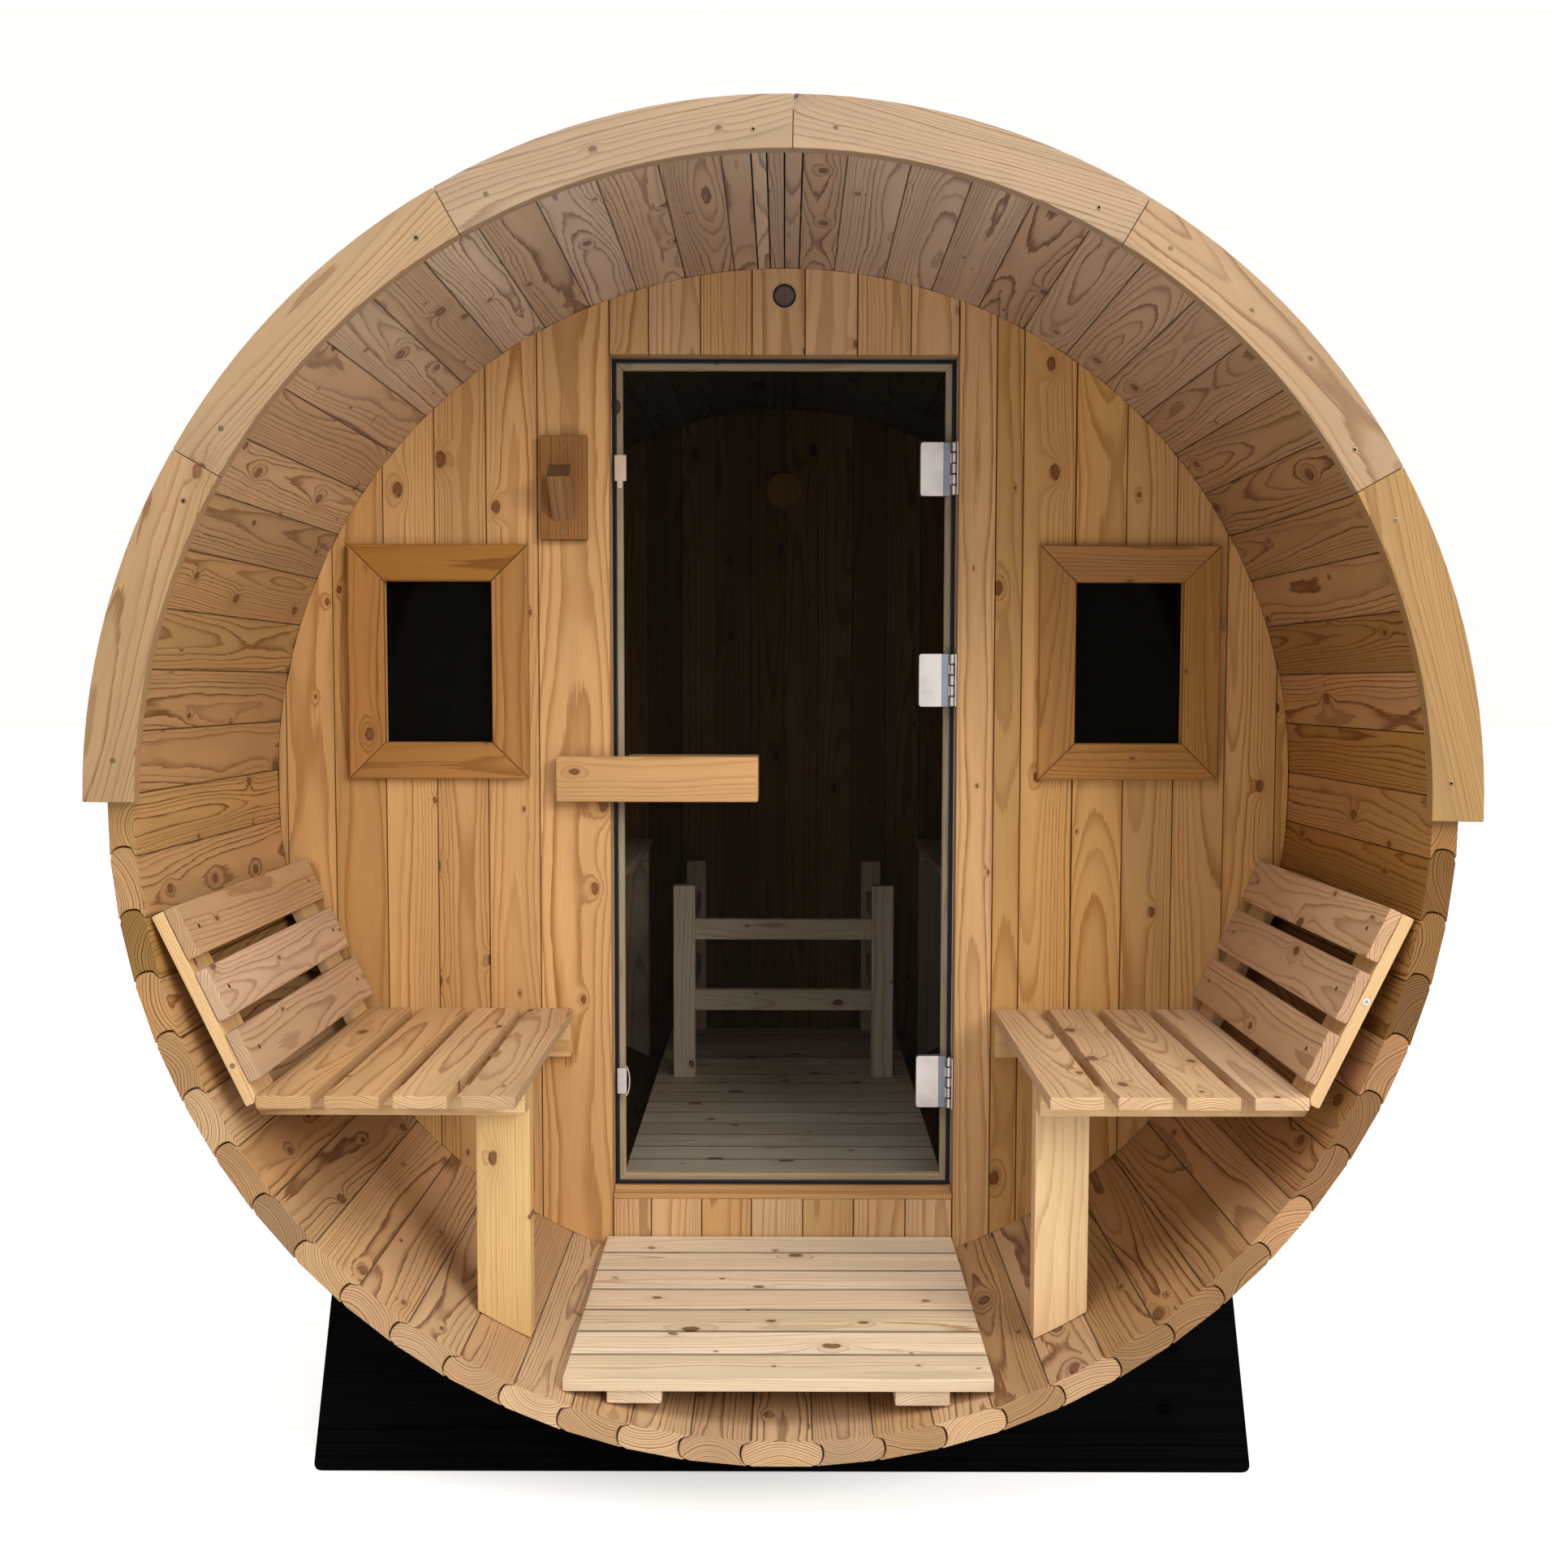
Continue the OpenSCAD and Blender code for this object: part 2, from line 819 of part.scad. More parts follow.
module right_inner_slats() { inner_bench_slats(); }
module left_inner_slats() { mirror([1, 0, 0]) inner_bench_slats(); }

// Bearers from the staves to the edge of the inner bench, and a leg under each
module inner_bench_frame() {
    bearer_x = inner_seat_x + 8;
    leg_top = inner_bearer_top - bearer_s - fit;
    color(bench_wood)
        inside_barrel()
            for (y = inner_bearer_ys) {
                board([bearer_x, y, inner_bearer_top - bearer_s], [r_out, y + bearer_s, inner_bearer_top]);
                board([bearer_x, y, -r_out], [bearer_x + leg_w, y + bearer_s, leg_top]);
            }
}

module right_inner_frame() { inner_bench_frame(); }
module left_inner_frame() { mirror([1, 0, 0]) inner_bench_frame(); }

// Four posts on the cabin floor with rails on three sides, open to the back wall
module heater_guard() {
    back_y = back_in_y - fit;
    guard_y = back_y - guard_d;
    foot = cabin_floor_top + fit;
    color(bench_wood) {
        for (side = [-1, 1])
            for (y = [guard_y, back_y - post_d])
                board(
                    [side * (guard_w - post_w) / 2 - post_w / 2, y, foot],
                    [side * (guard_w - post_w) / 2 + post_w / 2, y + post_d, foot + guard_h]
                );
        for (k = [0, 1]) {
            rail_top = foot + guard_h - rail_drop - k * rail_pitch;
            board(
                [post_w - guard_w / 2 - 1, guard_y + (post_d - rail_t) / 2, rail_top - rail_h],
                [guard_w / 2 - post_w + 1, guard_y + (post_d + rail_t) / 2, rail_top]
            );
            for (side = [-1, 1])
                board(
                    [side * (guard_w - post_w) / 2 - rail_t / 2, guard_y + post_d - 1, rail_top - rail_h],
                    [side * (guard_w - post_w) / 2 + rail_t / 2, back_y - post_d + 1, rail_top]
                );
        }
    }
}

// A cradle: a slab with leaning sides, hollowed to the curve of the staves
module cradle(y0) {
    lean_in = axis_z * tan(cradle_lean);
    color(black_wood)
        along_y(y0, y0 + cradle_t)
            difference() {
                polygon([
                    [-cradle_w / 2, -axis_z],
                    [cradle_w / 2, -axis_z],
                    [cradle_w / 2 - lean_in, 0],
                    [lean_in - cradle_w / 2, 0]
                ]);
                circle(r_corner + fit);
            }
}

module front_cradle() { cradle(front_y + cradle_setback); }
module rear_cradle() { cradle(rear_y - cradle_setback - cradle_t); }

bottom_staves();
left_staves();
right_staves();
top_staves();
front_fascia();
rear_fascia();
roof_covering();
barrel_hoops();
front_wall_left();
front_wall_right();
front_wall_over_door();
front_wall_under_door();
back_wall();
door_sill();
door_frame();
left_window_trim();
right_window_trim();
left_window_glass();
right_window_glass();
front_vent();
rear_valve();
robe_hook();
frame_hinges();
left_bench_slats();
right_bench_slats();
left_bench_frame();
right_bench_frame();
porch_floor_boards();
porch_floor_runners();
cabin_floor_boards();
cabin_floor_runners();
left_inner_slats();
right_inner_slats();
left_inner_frame();
right_inner_frame();
heater_guard();
front_cradle();
rear_cradle();
door_glass();
door_handle();
door_hinges();
door_catches();
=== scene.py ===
import random
from math import cos, hypot, pi, radians, sin, sqrt, tan

import bmesh
import bpy
import numpy as np
from mathutils import Matrix, Vector


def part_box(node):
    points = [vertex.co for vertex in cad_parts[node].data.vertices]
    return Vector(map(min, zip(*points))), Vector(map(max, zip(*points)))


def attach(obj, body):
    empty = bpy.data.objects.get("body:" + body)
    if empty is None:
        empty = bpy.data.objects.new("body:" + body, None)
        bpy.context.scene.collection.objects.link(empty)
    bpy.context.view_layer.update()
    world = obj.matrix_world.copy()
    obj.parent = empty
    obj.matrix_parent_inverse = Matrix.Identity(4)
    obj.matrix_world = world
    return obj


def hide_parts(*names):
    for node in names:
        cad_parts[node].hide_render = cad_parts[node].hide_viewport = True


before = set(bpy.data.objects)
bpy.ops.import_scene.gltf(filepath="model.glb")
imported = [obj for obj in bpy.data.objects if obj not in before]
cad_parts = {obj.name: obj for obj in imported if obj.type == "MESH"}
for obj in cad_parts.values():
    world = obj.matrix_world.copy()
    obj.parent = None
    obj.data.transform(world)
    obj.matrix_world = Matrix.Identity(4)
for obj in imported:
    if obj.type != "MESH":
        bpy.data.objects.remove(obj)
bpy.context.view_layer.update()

# Metres throughout: x to the right of someone facing the door, y from the porch to the back, z up
AXIS_Z = 1.172
R_IN, R_OUT = 1.018, 1.060
FRONT_Y, REAR_Y = -1.2, 1.2
WALL_Y0, WALL_Y1 = -0.5, -0.458
BACK_Y0, BACK_Y1 = 1.098, 1.140
WALL_R, WALL_END = 1.0174, 1.0172
STAVES = 65
HALF = pi / STAVES
CREASE = 38.0
X, Y, Z, FRONT = (1, 0, 0), (0, 1, 0), (0, 0, 1), (0, -1, 0)

# Materials

KNOT = (0.13, 0.045, 0.014)
KNOT_CELLS, KNOT_LEAST, KNOT_RANGE = 8.0, 0.0022, 0.0078
WANDER_FAR, WANDER_NEAR = 0.075, 0.007


class Nodes:
    """A material's node tree with one Principled shader and short calls for the nodes that feed it."""

    def __init__(self, name):
        self.mat = bpy.data.materials.new(name)
        self.mat.use_nodes = True
        self.tree = self.mat.node_tree
        self.tree.nodes.clear()
        out = self.make("OutputMaterial")
        self.bsdf = self.make("BsdfPrincipled")
        self.tree.links.new(self.bsdf.outputs[0], out.inputs[0])

    def make(self, kind, **props):
        node = self.tree.nodes.new("ShaderNode" + kind)
        for key, value in props.items():
            setattr(node, key, value)
        return node

    def put(self, socket, value):
        if isinstance(value, bpy.types.NodeSocket):
            self.tree.links.new(value, socket)
        elif isinstance(value, tuple) and len(value) == 3 and socket.type == "RGBA":
            socket.default_value = (*value, 1.0)
        else:
            socket.default_value = value

    def shade(self, **values):
        for key, value in values.items():
            self.put(self.bsdf.inputs[key.replace("_", " ")], value)
        return self.mat

    def feed(self, kind, inputs, output=0, **props):
        """A new node's output, with its inputs set by place or name."""
        node = self.make(kind, **props)
        for key, value in inputs.items():
            self.put(node.inputs[key], value)
        return node.outputs[output]

    def math(self, op, *values):
        return self.feed("Math", dict(enumerate(values)), operation=op)

    def add(self, a, b):
        return self.math("ADD", a, b)

    def mul(self, a, b):
        return self.math("MULTIPLY", a, b)

    def madd(self, a, b, c):
        return self.math("MULTIPLY_ADD", a, b, c)

    def bell(self, x, width):
        """1 at x = 0, falling smoothly to 0 a few widths away."""
        t = self.math("DIVIDE", x, width)
        return self.math("EXPONENT", self.mul(self.mul(t, t), -1.0))

    def ramp(self, x, low, high, a=0.0, b=1.0):
        return self.feed("MapRange", dict(enumerate((x, low, high, a, b))), interpolation_type="SMOOTHSTEP")

    def xyz(self, *values):
        return self.feed("CombineXYZ", dict(enumerate(values)))

    def length(self, x, y):
        return self.feed("VectorMath", {0: self.xyz(x, y, 0.0)}, "Value", operation="LENGTH")

    def split(self, vector):
        node = self.make("SeparateXYZ")
        self.put(node.inputs[0], vector)
        return node.outputs

    def attribute(self, name, output="Vector"):
        return self.make("Attribute", attribute_name=name).outputs[output]

    def position(self):
        return self.make("TexCoord").outputs["Object"]

    def noise(self, vector, scale, detail, rough=0.5):
        return self.feed("TexNoise", {"Vector": vector, "Scale": scale, "Detail": detail, "Roughness": rough})

    def noise_1d(self, w):
        return self.feed("TexNoise", {"W": w, "Scale": 1.0, "Detail": 1.0}, noise_dimensions="1D")

    def mix(self, factor, a, b):
        return self.feed("Mix", {0: factor, 6: a, 7: b}, 2, data_type="RGBA")

    def tint(self, colour, hue, saturation, value):
        inputs = {"Hue": hue, "Saturation": saturation, "Value": value, "Color": colour}
        return self.feed("HueSaturation", inputs)

    def bump(self, height, strength, distance):
        return self.feed("Bump", {"Height": height, "Strength": strength, "Distance": distance})


def wood(name, early, late, ring, contrast, knots, figure, knot=KNOT, rough=0.56, spread=0.3, bump=0.4,
         thin=0.60, hue=0.010, shine=0.2, end=-0.12, mixed=0.0, inside=1.0):
    """Solid timber. Growth rings run round a pith that lies beside each board, so that faces show
    cathedral figure and cut ends show arcs; knots push the rings aside. ring is a ring's width. end and
    mixed are how far cut ends differ from the faces and from each other, and inside how far painted
    shade darkens the faces in the cabin."""
    n = Nodes(name)
    gx, gy, gz = n.split(n.attribute("grain"))
    t1, t2, t3 = n.split(n.attribute("tone"))
    cut = n.attribute("cut", "Fac")
    sawn, painted_joint_shade = n.math("MAXIMUM", cut, 0.0), n.math("MINIMUM", cut, 0.0)
    seed = n.mul(t1, 41.0)

    def streaks(across, along, detail):
        """Noise drawn out along the grain, by its counts to a metre."""
        return n.noise(n.xyz(n.madd(gx, across, seed), n.mul(gy, across), n.mul(gz, along)), 1.0, detail)

    slow, small = streaks(5.0, 1.15, 1.5), streaks(26.0, 5.0, 2.0)
    ragged, broad = streaks(95.0, 60.0, 1.0), streaks(15.0, 1.8, 3.0)

    voronoi = n.make("TexVoronoi", voronoi_dimensions="2D")
    n.put(voronoi.inputs["Vector"], n.xyz(
        n.madd(gx, KNOT_CELLS, n.madd(ragged, 0.05, seed)),
        n.madd(gz, KNOT_CELLS * 0.62, n.madd(t2, 23.0, n.mul(ragged, 0.03))), 0.0))
    n.put(voronoi.inputs["Scale"], 1.0)
    size, chance, _ = n.split(voronoi.outputs["Color"])
    radius = n.madd(n.mul(size, size), KNOT_RANGE, KNOT_LEAST)
    there = n.mul(n.math("LESS_THAN", chance, knots), n.math("SUBTRACT", 1.0, sawn))
    far = n.math("DIVIDE", n.mul(voronoi.outputs["Distance"], 1.0 / KNOT_CELLS), radius)
    near = n.mul(n.bell(far, 2.3), there)
    core = n.mul(n.ramp(far, 1.0, 0.8), there)
    rim = n.mul(n.mul(n.ramp(far, 0.62, 0.95), n.ramp(far, 1.25, 1.0)), there)

    r = n.madd(n.add(slow, -0.5), WANDER_FAR * figure, n.length(gx, gy))
    r = n.madd(n.add(small, -0.5), WANDER_NEAR * figure, r)
    r = n.add(r, n.mul(n.mul(near, radius), -1.2))
    fibre = n.noise(n.xyz(n.mul(gx, 620.0), n.mul(gy, 620.0), n.mul(gz, 10.0)), 1.0, 2.0, 0.6)
    width = n.noise_1d(n.madd(r, 46.0, seed))
    frayed = n.mul(fibre, n.madd(sawn, -0.34, 0.42))
    turns = n.madd(r, 1.0 / ring, n.madd(width, 2.4, frayed))
    phase = n.math("FRACT", turns)
    line = n.mul(n.ramp(phase, thin, 0.93), n.ramp(phase, 1.0, 0.95))
    year = n.noise_1d(n.madd(n.math("FLOOR", turns), 0.73, seed))
    line = n.mul(line, n.ramp(year, 0.28, 0.72, 0.4, 1.2))
    band = n.madd(line, 0.84, n.mul(phase, 0.16))

    depth = n.mul(band, n.madd(broad, contrast * 1.2, contrast * 0.35))
    depth = n.mul(depth, n.madd(sawn, 0.35, 1.0))
    colour = n.mix(depth, early, late)
    colour = n.mix(n.mul(near, 0.34), colour, late)
    rings = n.math("FRACT", n.mul(far, 2.6))
    colour = n.mix(n.mul(core, 0.85), colour, n.mix(n.mul(rings, ragged), knot, tuple(c * 2.4 for c in knot)))
    colour = n.mix(n.mul(n.mul(rim, ragged), 1.3), colour, tuple(c * 0.4 for c in knot))
    value = n.madd(t2, spread, 1.0 - spread * 0.55)
    value = n.mul(value, n.madd(fibre, 0.34, 0.83))
    value = n.mul(value, n.madd(broad, 0.5, 0.75))
    ends = n.madd(t2, mixed, end - mixed / 2) if mixed else end
    value = n.mul(value, n.madd(sawn, ends, 1.0))
    # Painted shade: faces that lie between boards, where cut is -1, are made darker.
    value = n.mul(value, n.madd(painted_joint_shade, 0.62, 1.0))
    # Painted shade: inside darkens the faces at the barrel's inner surface between the front and back walls.
    if inside < 1.0:
        x, y, z = n.split(n.position())
        painted_cabin_shade = n.mul(n.ramp(y, WALL_Y0 + 0.02, WALL_Y1 - 0.01),
                       n.ramp(y, BACK_Y1 - 0.01, BACK_Y0 + 0.01))
        painted_cabin_shade = n.mul(painted_cabin_shade, n.ramp(n.length(x, n.add(z, -AXIS_Z)), R_IN + 0.006, R_IN + 0.003))
        value = n.mul(value, n.madd(painted_cabin_shade, inside - 1.0, 1.0))
    warm = n.math("MINIMUM", n.madd(t2, -0.12, 0.06), 0.12)
    colour = n.tint(colour, n.madd(t3, hue, 0.5 - hue / 2),
                    n.madd(t1, 0.12, n.add(warm, 0.94)), value)

    return n.shade(
        Base_Color=colour,
        Roughness=n.madd(fibre, 0.22, rough - 0.08),
        Normal=n.bump(n.madd(line, 0.5, fibre), bump, 0.0006),
        Specular_IOR_Level=shine,
    )


def steel(name, colour, rough, brush=(4.0, 4.0, 240.0)):
    n = Nodes(name)
    lines = n.noise(n.xyz(*map(n.mul, n.split(n.position()), brush)), 4.0, 3.0)
    stain = n.noise(n.position(), 22.0, 4.0)
    return n.shade(
        Base_Color=n.mix(n.ramp(stain, 0.35, 0.75), colour, tuple(c * 0.78 for c in colour)),
        Metallic=1.0,
        Roughness=n.madd(lines, 0.18, rough),
        Normal=n.bump(lines, 0.12, 0.0004),
    )


def moulded(name, colour, rough):
    n = Nodes(name)
    fine = n.noise(n.position(), 900.0, 2.0)
    cloud = n.noise(n.position(), 14.0, 3.0)
    return n.shade(
        Base_Color=n.mix(cloud, tuple(c * 0.75 for c in colour), tuple(c * 1.2 for c in colour)),
        Roughness=n.madd(fine, 0.2, rough),
        Normal=n.bump(fine, 0.2, 0.0004),
    )


def felt():
    n = Nodes("slate_grit_felt")
    tone = n.split(n.attribute("tone"))[0]
    voronoi = n.make("TexVoronoi")
    n.put(voronoi.inputs["Vector"], n.position())
    n.put(voronoi.inputs["Scale"], 620.0)
    grit = n.split(voronoi.outputs["Color"])[0]
    cloud = n.noise(n.position(), 9.0, 5.0)
    colour = n.mix(grit, (0.018, 0.019, 0.021), (0.115, 0.118, 0.122))
    colour = n.mix(n.ramp(cloud, 0.35, 0.75), colour, (0.05, 0.051, 0.05))
    value = n.madd(tone, 0.7, 0.62)
    height = n.add(n.mul(voronoi.outputs["Distance"], -1.0), grit)
    return n.shade(
        Base_Color=n.tint(colour, 0.5, 1.0, value),
        Roughness=n.madd(grit, 0.16, 0.78),
        Normal=n.bump(height, 0.6, 0.0012),
    )


def pane(name, colour, alpha):
    n = Nodes(name)
    smear = n.noise(n.position(), 5.0, 4.0)
    return n.shade(
        Base_Color=n.mix(smear, colour, tuple(c * 1.35 for c in colour)),
        Roughness=n.madd(n.ramp(smear, 0.45, 0.75), 0.05, 0.03),
        Alpha=alpha,
        IOR=1.5,
        Specular_IOR_Level=0.03,
    )


# inside=0.3 is painted shade: it darkens the staves' inner faces in the cabin.
STAVE = wood("stave_timber", (0.465, 0.262, 0.104), (0.170, 0.070, 0.021), ring=0.0043, contrast=1.0,
             knots=0.72, figure=0.72, spread=0.40, hue=0.007, end=-0.13, mixed=0.42, inside=0.3)
WALL = wood("wall_timber", (0.595, 0.350, 0.155), (0.29, 0.122, 0.036), ring=0.0037, contrast=0.70,
            knots=0.42, figure=0.40, spread=0.24, thin=0.48, hue=0.003)
TRIM = wood("trim_timber", (0.400, 0.187, 0.045), (0.195, 0.072, 0.013), ring=0.0040, contrast=0.75,
            knots=0.5, figure=0.45, spread=0.14, thin=0.5, hue=0.006)
# Painted shade: the fascia's colour is darker than its wood's own, to take back the strong front light on it.
FASCIA = wood("fascia_timber", (0.362, 0.214, 0.096), (0.185, 0.080, 0.025), ring=0.0053, contrast=0.75,
              knots=0.62, figure=0.85, spread=0.14, hue=0.005)
HANDLE = wood("handle_timber", (0.57, 0.325, 0.145), (0.32, 0.142, 0.046), ring=0.0046, contrast=0.65,
              knots=0.7, figure=0.5, spread=0.1, hue=0.004)
# HOOK's end darkens its end grain, partly as the wood's own darker end grain and partly as painted shade on
# the peg's sloping end.
HOOK = wood("hook_timber", (0.285, 0.130, 0.035), (0.15, 0.055, 0.012), ring=0.0042, contrast=0.8,
            knots=0.2, figure=0.4, spread=0.1, end=-0.52)
BENCH = wood("bench_timber", (0.60, 0.375, 0.195), (0.275, 0.118, 0.040), ring=0.0043, contrast=0.76,
             knots=0.55, figure=0.62, spread=0.26, end=0.0, hue=0.004)
PALE = wood("pale_timber", (0.715, 0.475, 0.222), (0.46, 0.235, 0.080), ring=0.0044, contrast=0.62,
            knots=0.8, figure=0.5, spread=0.12, hue=0.004)
# The stop's colour is partly its own pale wood and partly painted light, to lift it in the shade behind the
# door glass.
STOP = wood("stop_timber", (0.93, 0.715, 0.44), (0.66, 0.43, 0.21), ring=0.0044, contrast=0.62, knots=0.4,
            figure=0.5, spread=0.08, hue=0.004)
DECK = wood("deck_timber", (0.815, 0.630, 0.440), (0.44, 0.255, 0.120), ring=0.0046, contrast=0.75,
            knots=0.8, figure=0.55, spread=0.26, hue=0.008)
CABIN = wood("cabin_timber", (0.87, 0.740, 0.545), (0.52, 0.390, 0.240), ring=0.0048, contrast=0.8,
             knots=0.7, figure=0.6, spread=0.26)
BLACK = wood("black_stained_timber", (0.0036, 0.0036, 0.0037), (0.0012, 0.0012, 0.0012), ring=0.009,
             contrast=0.7, knots=0.4, figure=0.5, rough=0.7, bump=1.0, shine=0.0,
             knot=(0.001, 0.001, 0.001))
SATIN = steel("satin_steel", (0.60, 0.545, 0.515), 0.26)
SHADED = steel("blued_steel", (0.23, 0.25, 0.29), 0.30)
ZINC = steel("galvanised_steel", (0.52, 0.53, 0.54), 0.36, brush=(30.0, 30.0, 30.0))
SCREW = steel("screw_steel", (0.22, 0.165, 0.085), 0.40, brush=(90.0, 90.0, 90.0))
GAUZE = moulded("vent_moulding", (0.004, 0.005, 0.013), 0.6)
MESH = moulded("vent_mesh", (0.022, 0.026, 0.066), 0.5)
RUBBER = moulded("seal_rubber", (0.004, 0.009, 0.030), 0.5)
EDGE = moulded("glass_edge_seal", (0.055, 0.062, 0.085), 0.4)
CLIP = moulded("clip_moulding", (0.66, 0.50, 0.36), 0.4)
DOOR_GLASS = pane("tinted_door_glass", (0.003, 0.003, 0.002), 0.20)
WINDOW_GLASS = pane("tinted_window_glass", (0.002, 0.002, 0.0015), 0.72)
FELT = felt()


# Mesh builders

def placed(name, data):
    """A new object in the scene."""
    obj = bpy.data.objects.new(name, data)
    bpy.context.scene.collection.objects.link(obj)
    return obj


class Parts:
    """Small parts gathered into one mesh, which becomes a piece."""

    def __init__(self):
        self.verts, self.faces, self.layers = [], [], ()

    def put(self, points, faces):
        base = len(self.verts)
        self.verts += [tuple(p) for p in points]
        self.faces += [[base + i for i in f] for f in faces]

    def block(self, low, high, radius):
        self.put(*softened(*box_solid(low, high), radius))

    def screw(self, at, out, radius, turn=0.3):
        """A countersunk screw head with a six-point recess, flush with the wood."""
        def star(scale):
            return lambda a: radius * (0.43 + 0.07 * cos(6 * (a - turn))) * scale
        rows = [(-0.0026, radius * 0.5), (0.0001, radius), (0.0005, radius * 0.97), (0.0008, radius * 0.55),
                (0.0008, star(1.0)), (-0.0016, star(0.9))]
        steps = 24
        self.put(turned(at, out, rows, steps, turn), tube(steps, len(rows)))

    def piece(self, name, material, slot, nodes=(), body="cabin", smooth=CREASE):
        mesh = bpy.data.meshes.new(name)
        mesh.from_pydata(self.verts, [], self.faces)
        mesh.update()
        for key, kind, domain, data in self.layers:
            layer = mesh.attributes.new(key, kind, domain)
            layer.data.foreach_set("value" if kind == "FLOAT" else "vector",
                                   np.array(data, np.float32).ravel())
        mesh.materials.append(material)
        bm = bmesh.new()
        bm.from_mesh(mesh)
        bmesh.ops.recalc_face_normals(bm, faces=bm.faces)
        bm.to_mesh(mesh)
        bm.free()
        mesh.polygons.foreach_set("use_smooth", [True] * len(mesh.polygons))
        mesh.set_sharp_from_angle(angle=radians(smooth))
        obj = placed(name, mesh)
        obj.modifiers.new("weighted", "WEIGHTED_NORMAL").keep_sharp = True
        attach(obj, body)
        if nodes:
            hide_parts(*nodes)


class Stock(Parts):
    """Boards gathered into one mesh, each with its own grain direction, pith and tone."""

    def __init__(self, seed):
        super().__init__()
        self.rng = random.Random(seed)
        self.grain, self.tone, self.cut = [], [], []
        self.layers = (("grain", "FLOAT_VECTOR", "POINT", self.grain),
                       ("tone", "FLOAT_VECTOR", "POINT", self.tone), ("cut", "FLOAT", "FACE", self.cut))

    def board(self, points, faces, axes, centre, tone=None, pith=None, slide=None, painted_joint_shade=()):
        """axes is (across, face normal, along the grain). joint numbers the faces between boards that get
        painted shade. A face's cut is 1 on end grain and -1 on those shaded faces."""
        rng, centre = self.rng, Vector(centre)
        across, normal, along = (Vector(a).normalized() for a in axes)
        side = rng.choice((-1.0, 1.0))
        reach = rng.uniform(0.045, 0.13) if pith is None else pith
        shift = rng.uniform(-0.05, 0.05)
        slide = rng.uniform(0.0, 30.0) if slide is None else slide
        tone = tone or (rng.random(), rng.random(), rng.random())
        self.put(points, faces)
        for p in points:
            d = Vector(p) - centre
            self.grain.append((d.dot(across) + shift, side * d.dot(normal) + reach, d.dot(along) + slide))
            self.tone.append(tone)
        for k, f in enumerate(faces):
            nrm = face_normal([Vector(points[i]) for i in f])
            self.cut.append(-1.0 if k in painted_joint_shade else 1.0 if abs(nrm.dot(along)) > 0.8 else 0.0)


def face_normal(points):
    total = Vector()
    for a, b in zip(points, points[1:] + points[:1]):
        total += Vector(((a.y - b.y) * (a.z + b.z), (a.z - b.z) * (a.x + b.x), (a.x - b.x) * (a.y + b.y)))
    return total.normalized()


def softened(points, faces, radius):
    """The same solid with its hard edges rounded."""
    bm = bmesh.new()
    verts = [bm.verts.new(p) for p in points]
    for f in faces:
        bm.faces.new([verts[i] for i in f])
    bmesh.ops.recalc_face_normals(bm, faces=bm.faces)
    edges = [e for e in bm.edges if len(e.link_faces) == 2 and e.calc_face_angle(0.0) > 0.4]
    bmesh.ops.bevel(bm, geom=edges, offset=radius, offset_type="OFFSET", segments=2,
                    profile=0.5, affect="EDGES", clamp_overlap=True)
    bm.verts.index_update()
    out = [v.co.copy() for v in bm.verts], [[v.index for v in f.verts] for f in bm.faces]
    bm.free()
    return out


def box_solid(low, high):
    (x0, y0, z0), (x1, y1, z1) = low, high
    points = [(x, y, z) for x in (x0, x1) for y in (y0, y1) for z in (z0, z1)]
    return points, [(0, 1, 3, 2), (4, 6, 7, 5), (0, 4, 5, 1), (2, 3, 7, 6), (0, 2, 6, 4), (1, 5, 7, 3)]


def solids(node):
    """A CAD node's separate solids, with flat faces whole again: [(points, faces)]."""
    bm = bmesh.new()
    bm.from_mesh(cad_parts[node].data)
    bmesh.ops.remove_doubles(bm, verts=bm.verts, dist=1e-6)
    bmesh.ops.dissolve_limit(bm, angle_limit=radians(0.2), verts=bm.verts, edges=bm.edges)
    bm.verts.index_update()
    left, found = set(bm.verts), []
    for start in list(bm.verts):
        if start not in left:
            continue
        stack, group = [start], []
        left.discard(start)
        while stack:
            v = stack.pop()
            group.append(v)
            for e in v.link_edges:
                o = e.other_vert(v)
                if o in left:
                    left.discard(o)
                    stack.append(o)
        place = {v: i for i, v in enumerate(group)}
        faces = {f for v in group for f in v.link_faces}
        faces = sorted(faces, key=lambda f: f.index)
        found.append(([v.co.copy() for v in group], [[place[v] for v in f.verts] for f in faces]))
    bm.free()
    return found


def board_axes(points, faces):
    """(across, face normal, along) and the centre of a board-like solid."""
    areas = {}
    for f in faces:
        ps = [points[i] for i in f]
        total = Vector()
        for a, b in zip(ps[1:], ps[2:]):
            total += (a - ps[0]).cross(b - ps[0]) / 2
        n = total.normalized()
        key = next((k for k in areas if abs(Vector(k).dot(n)) > 0.999), tuple(n))
        areas[key] = areas.get(key, 0.0) + total.length
    normal = Vector(max(areas, key=areas.get))
    co = np.array([tuple(p) for p in points])
    centre = (co.min(0) + co.max(0)) / 2
    flat = co - co.mean(0)
    flat -= np.outer(flat @ np.array(normal), np.array(normal))
    along = Vector(np.linalg.svd(flat, full_matrices=False)[2][0])
    return (along.cross(normal), normal, along), centre


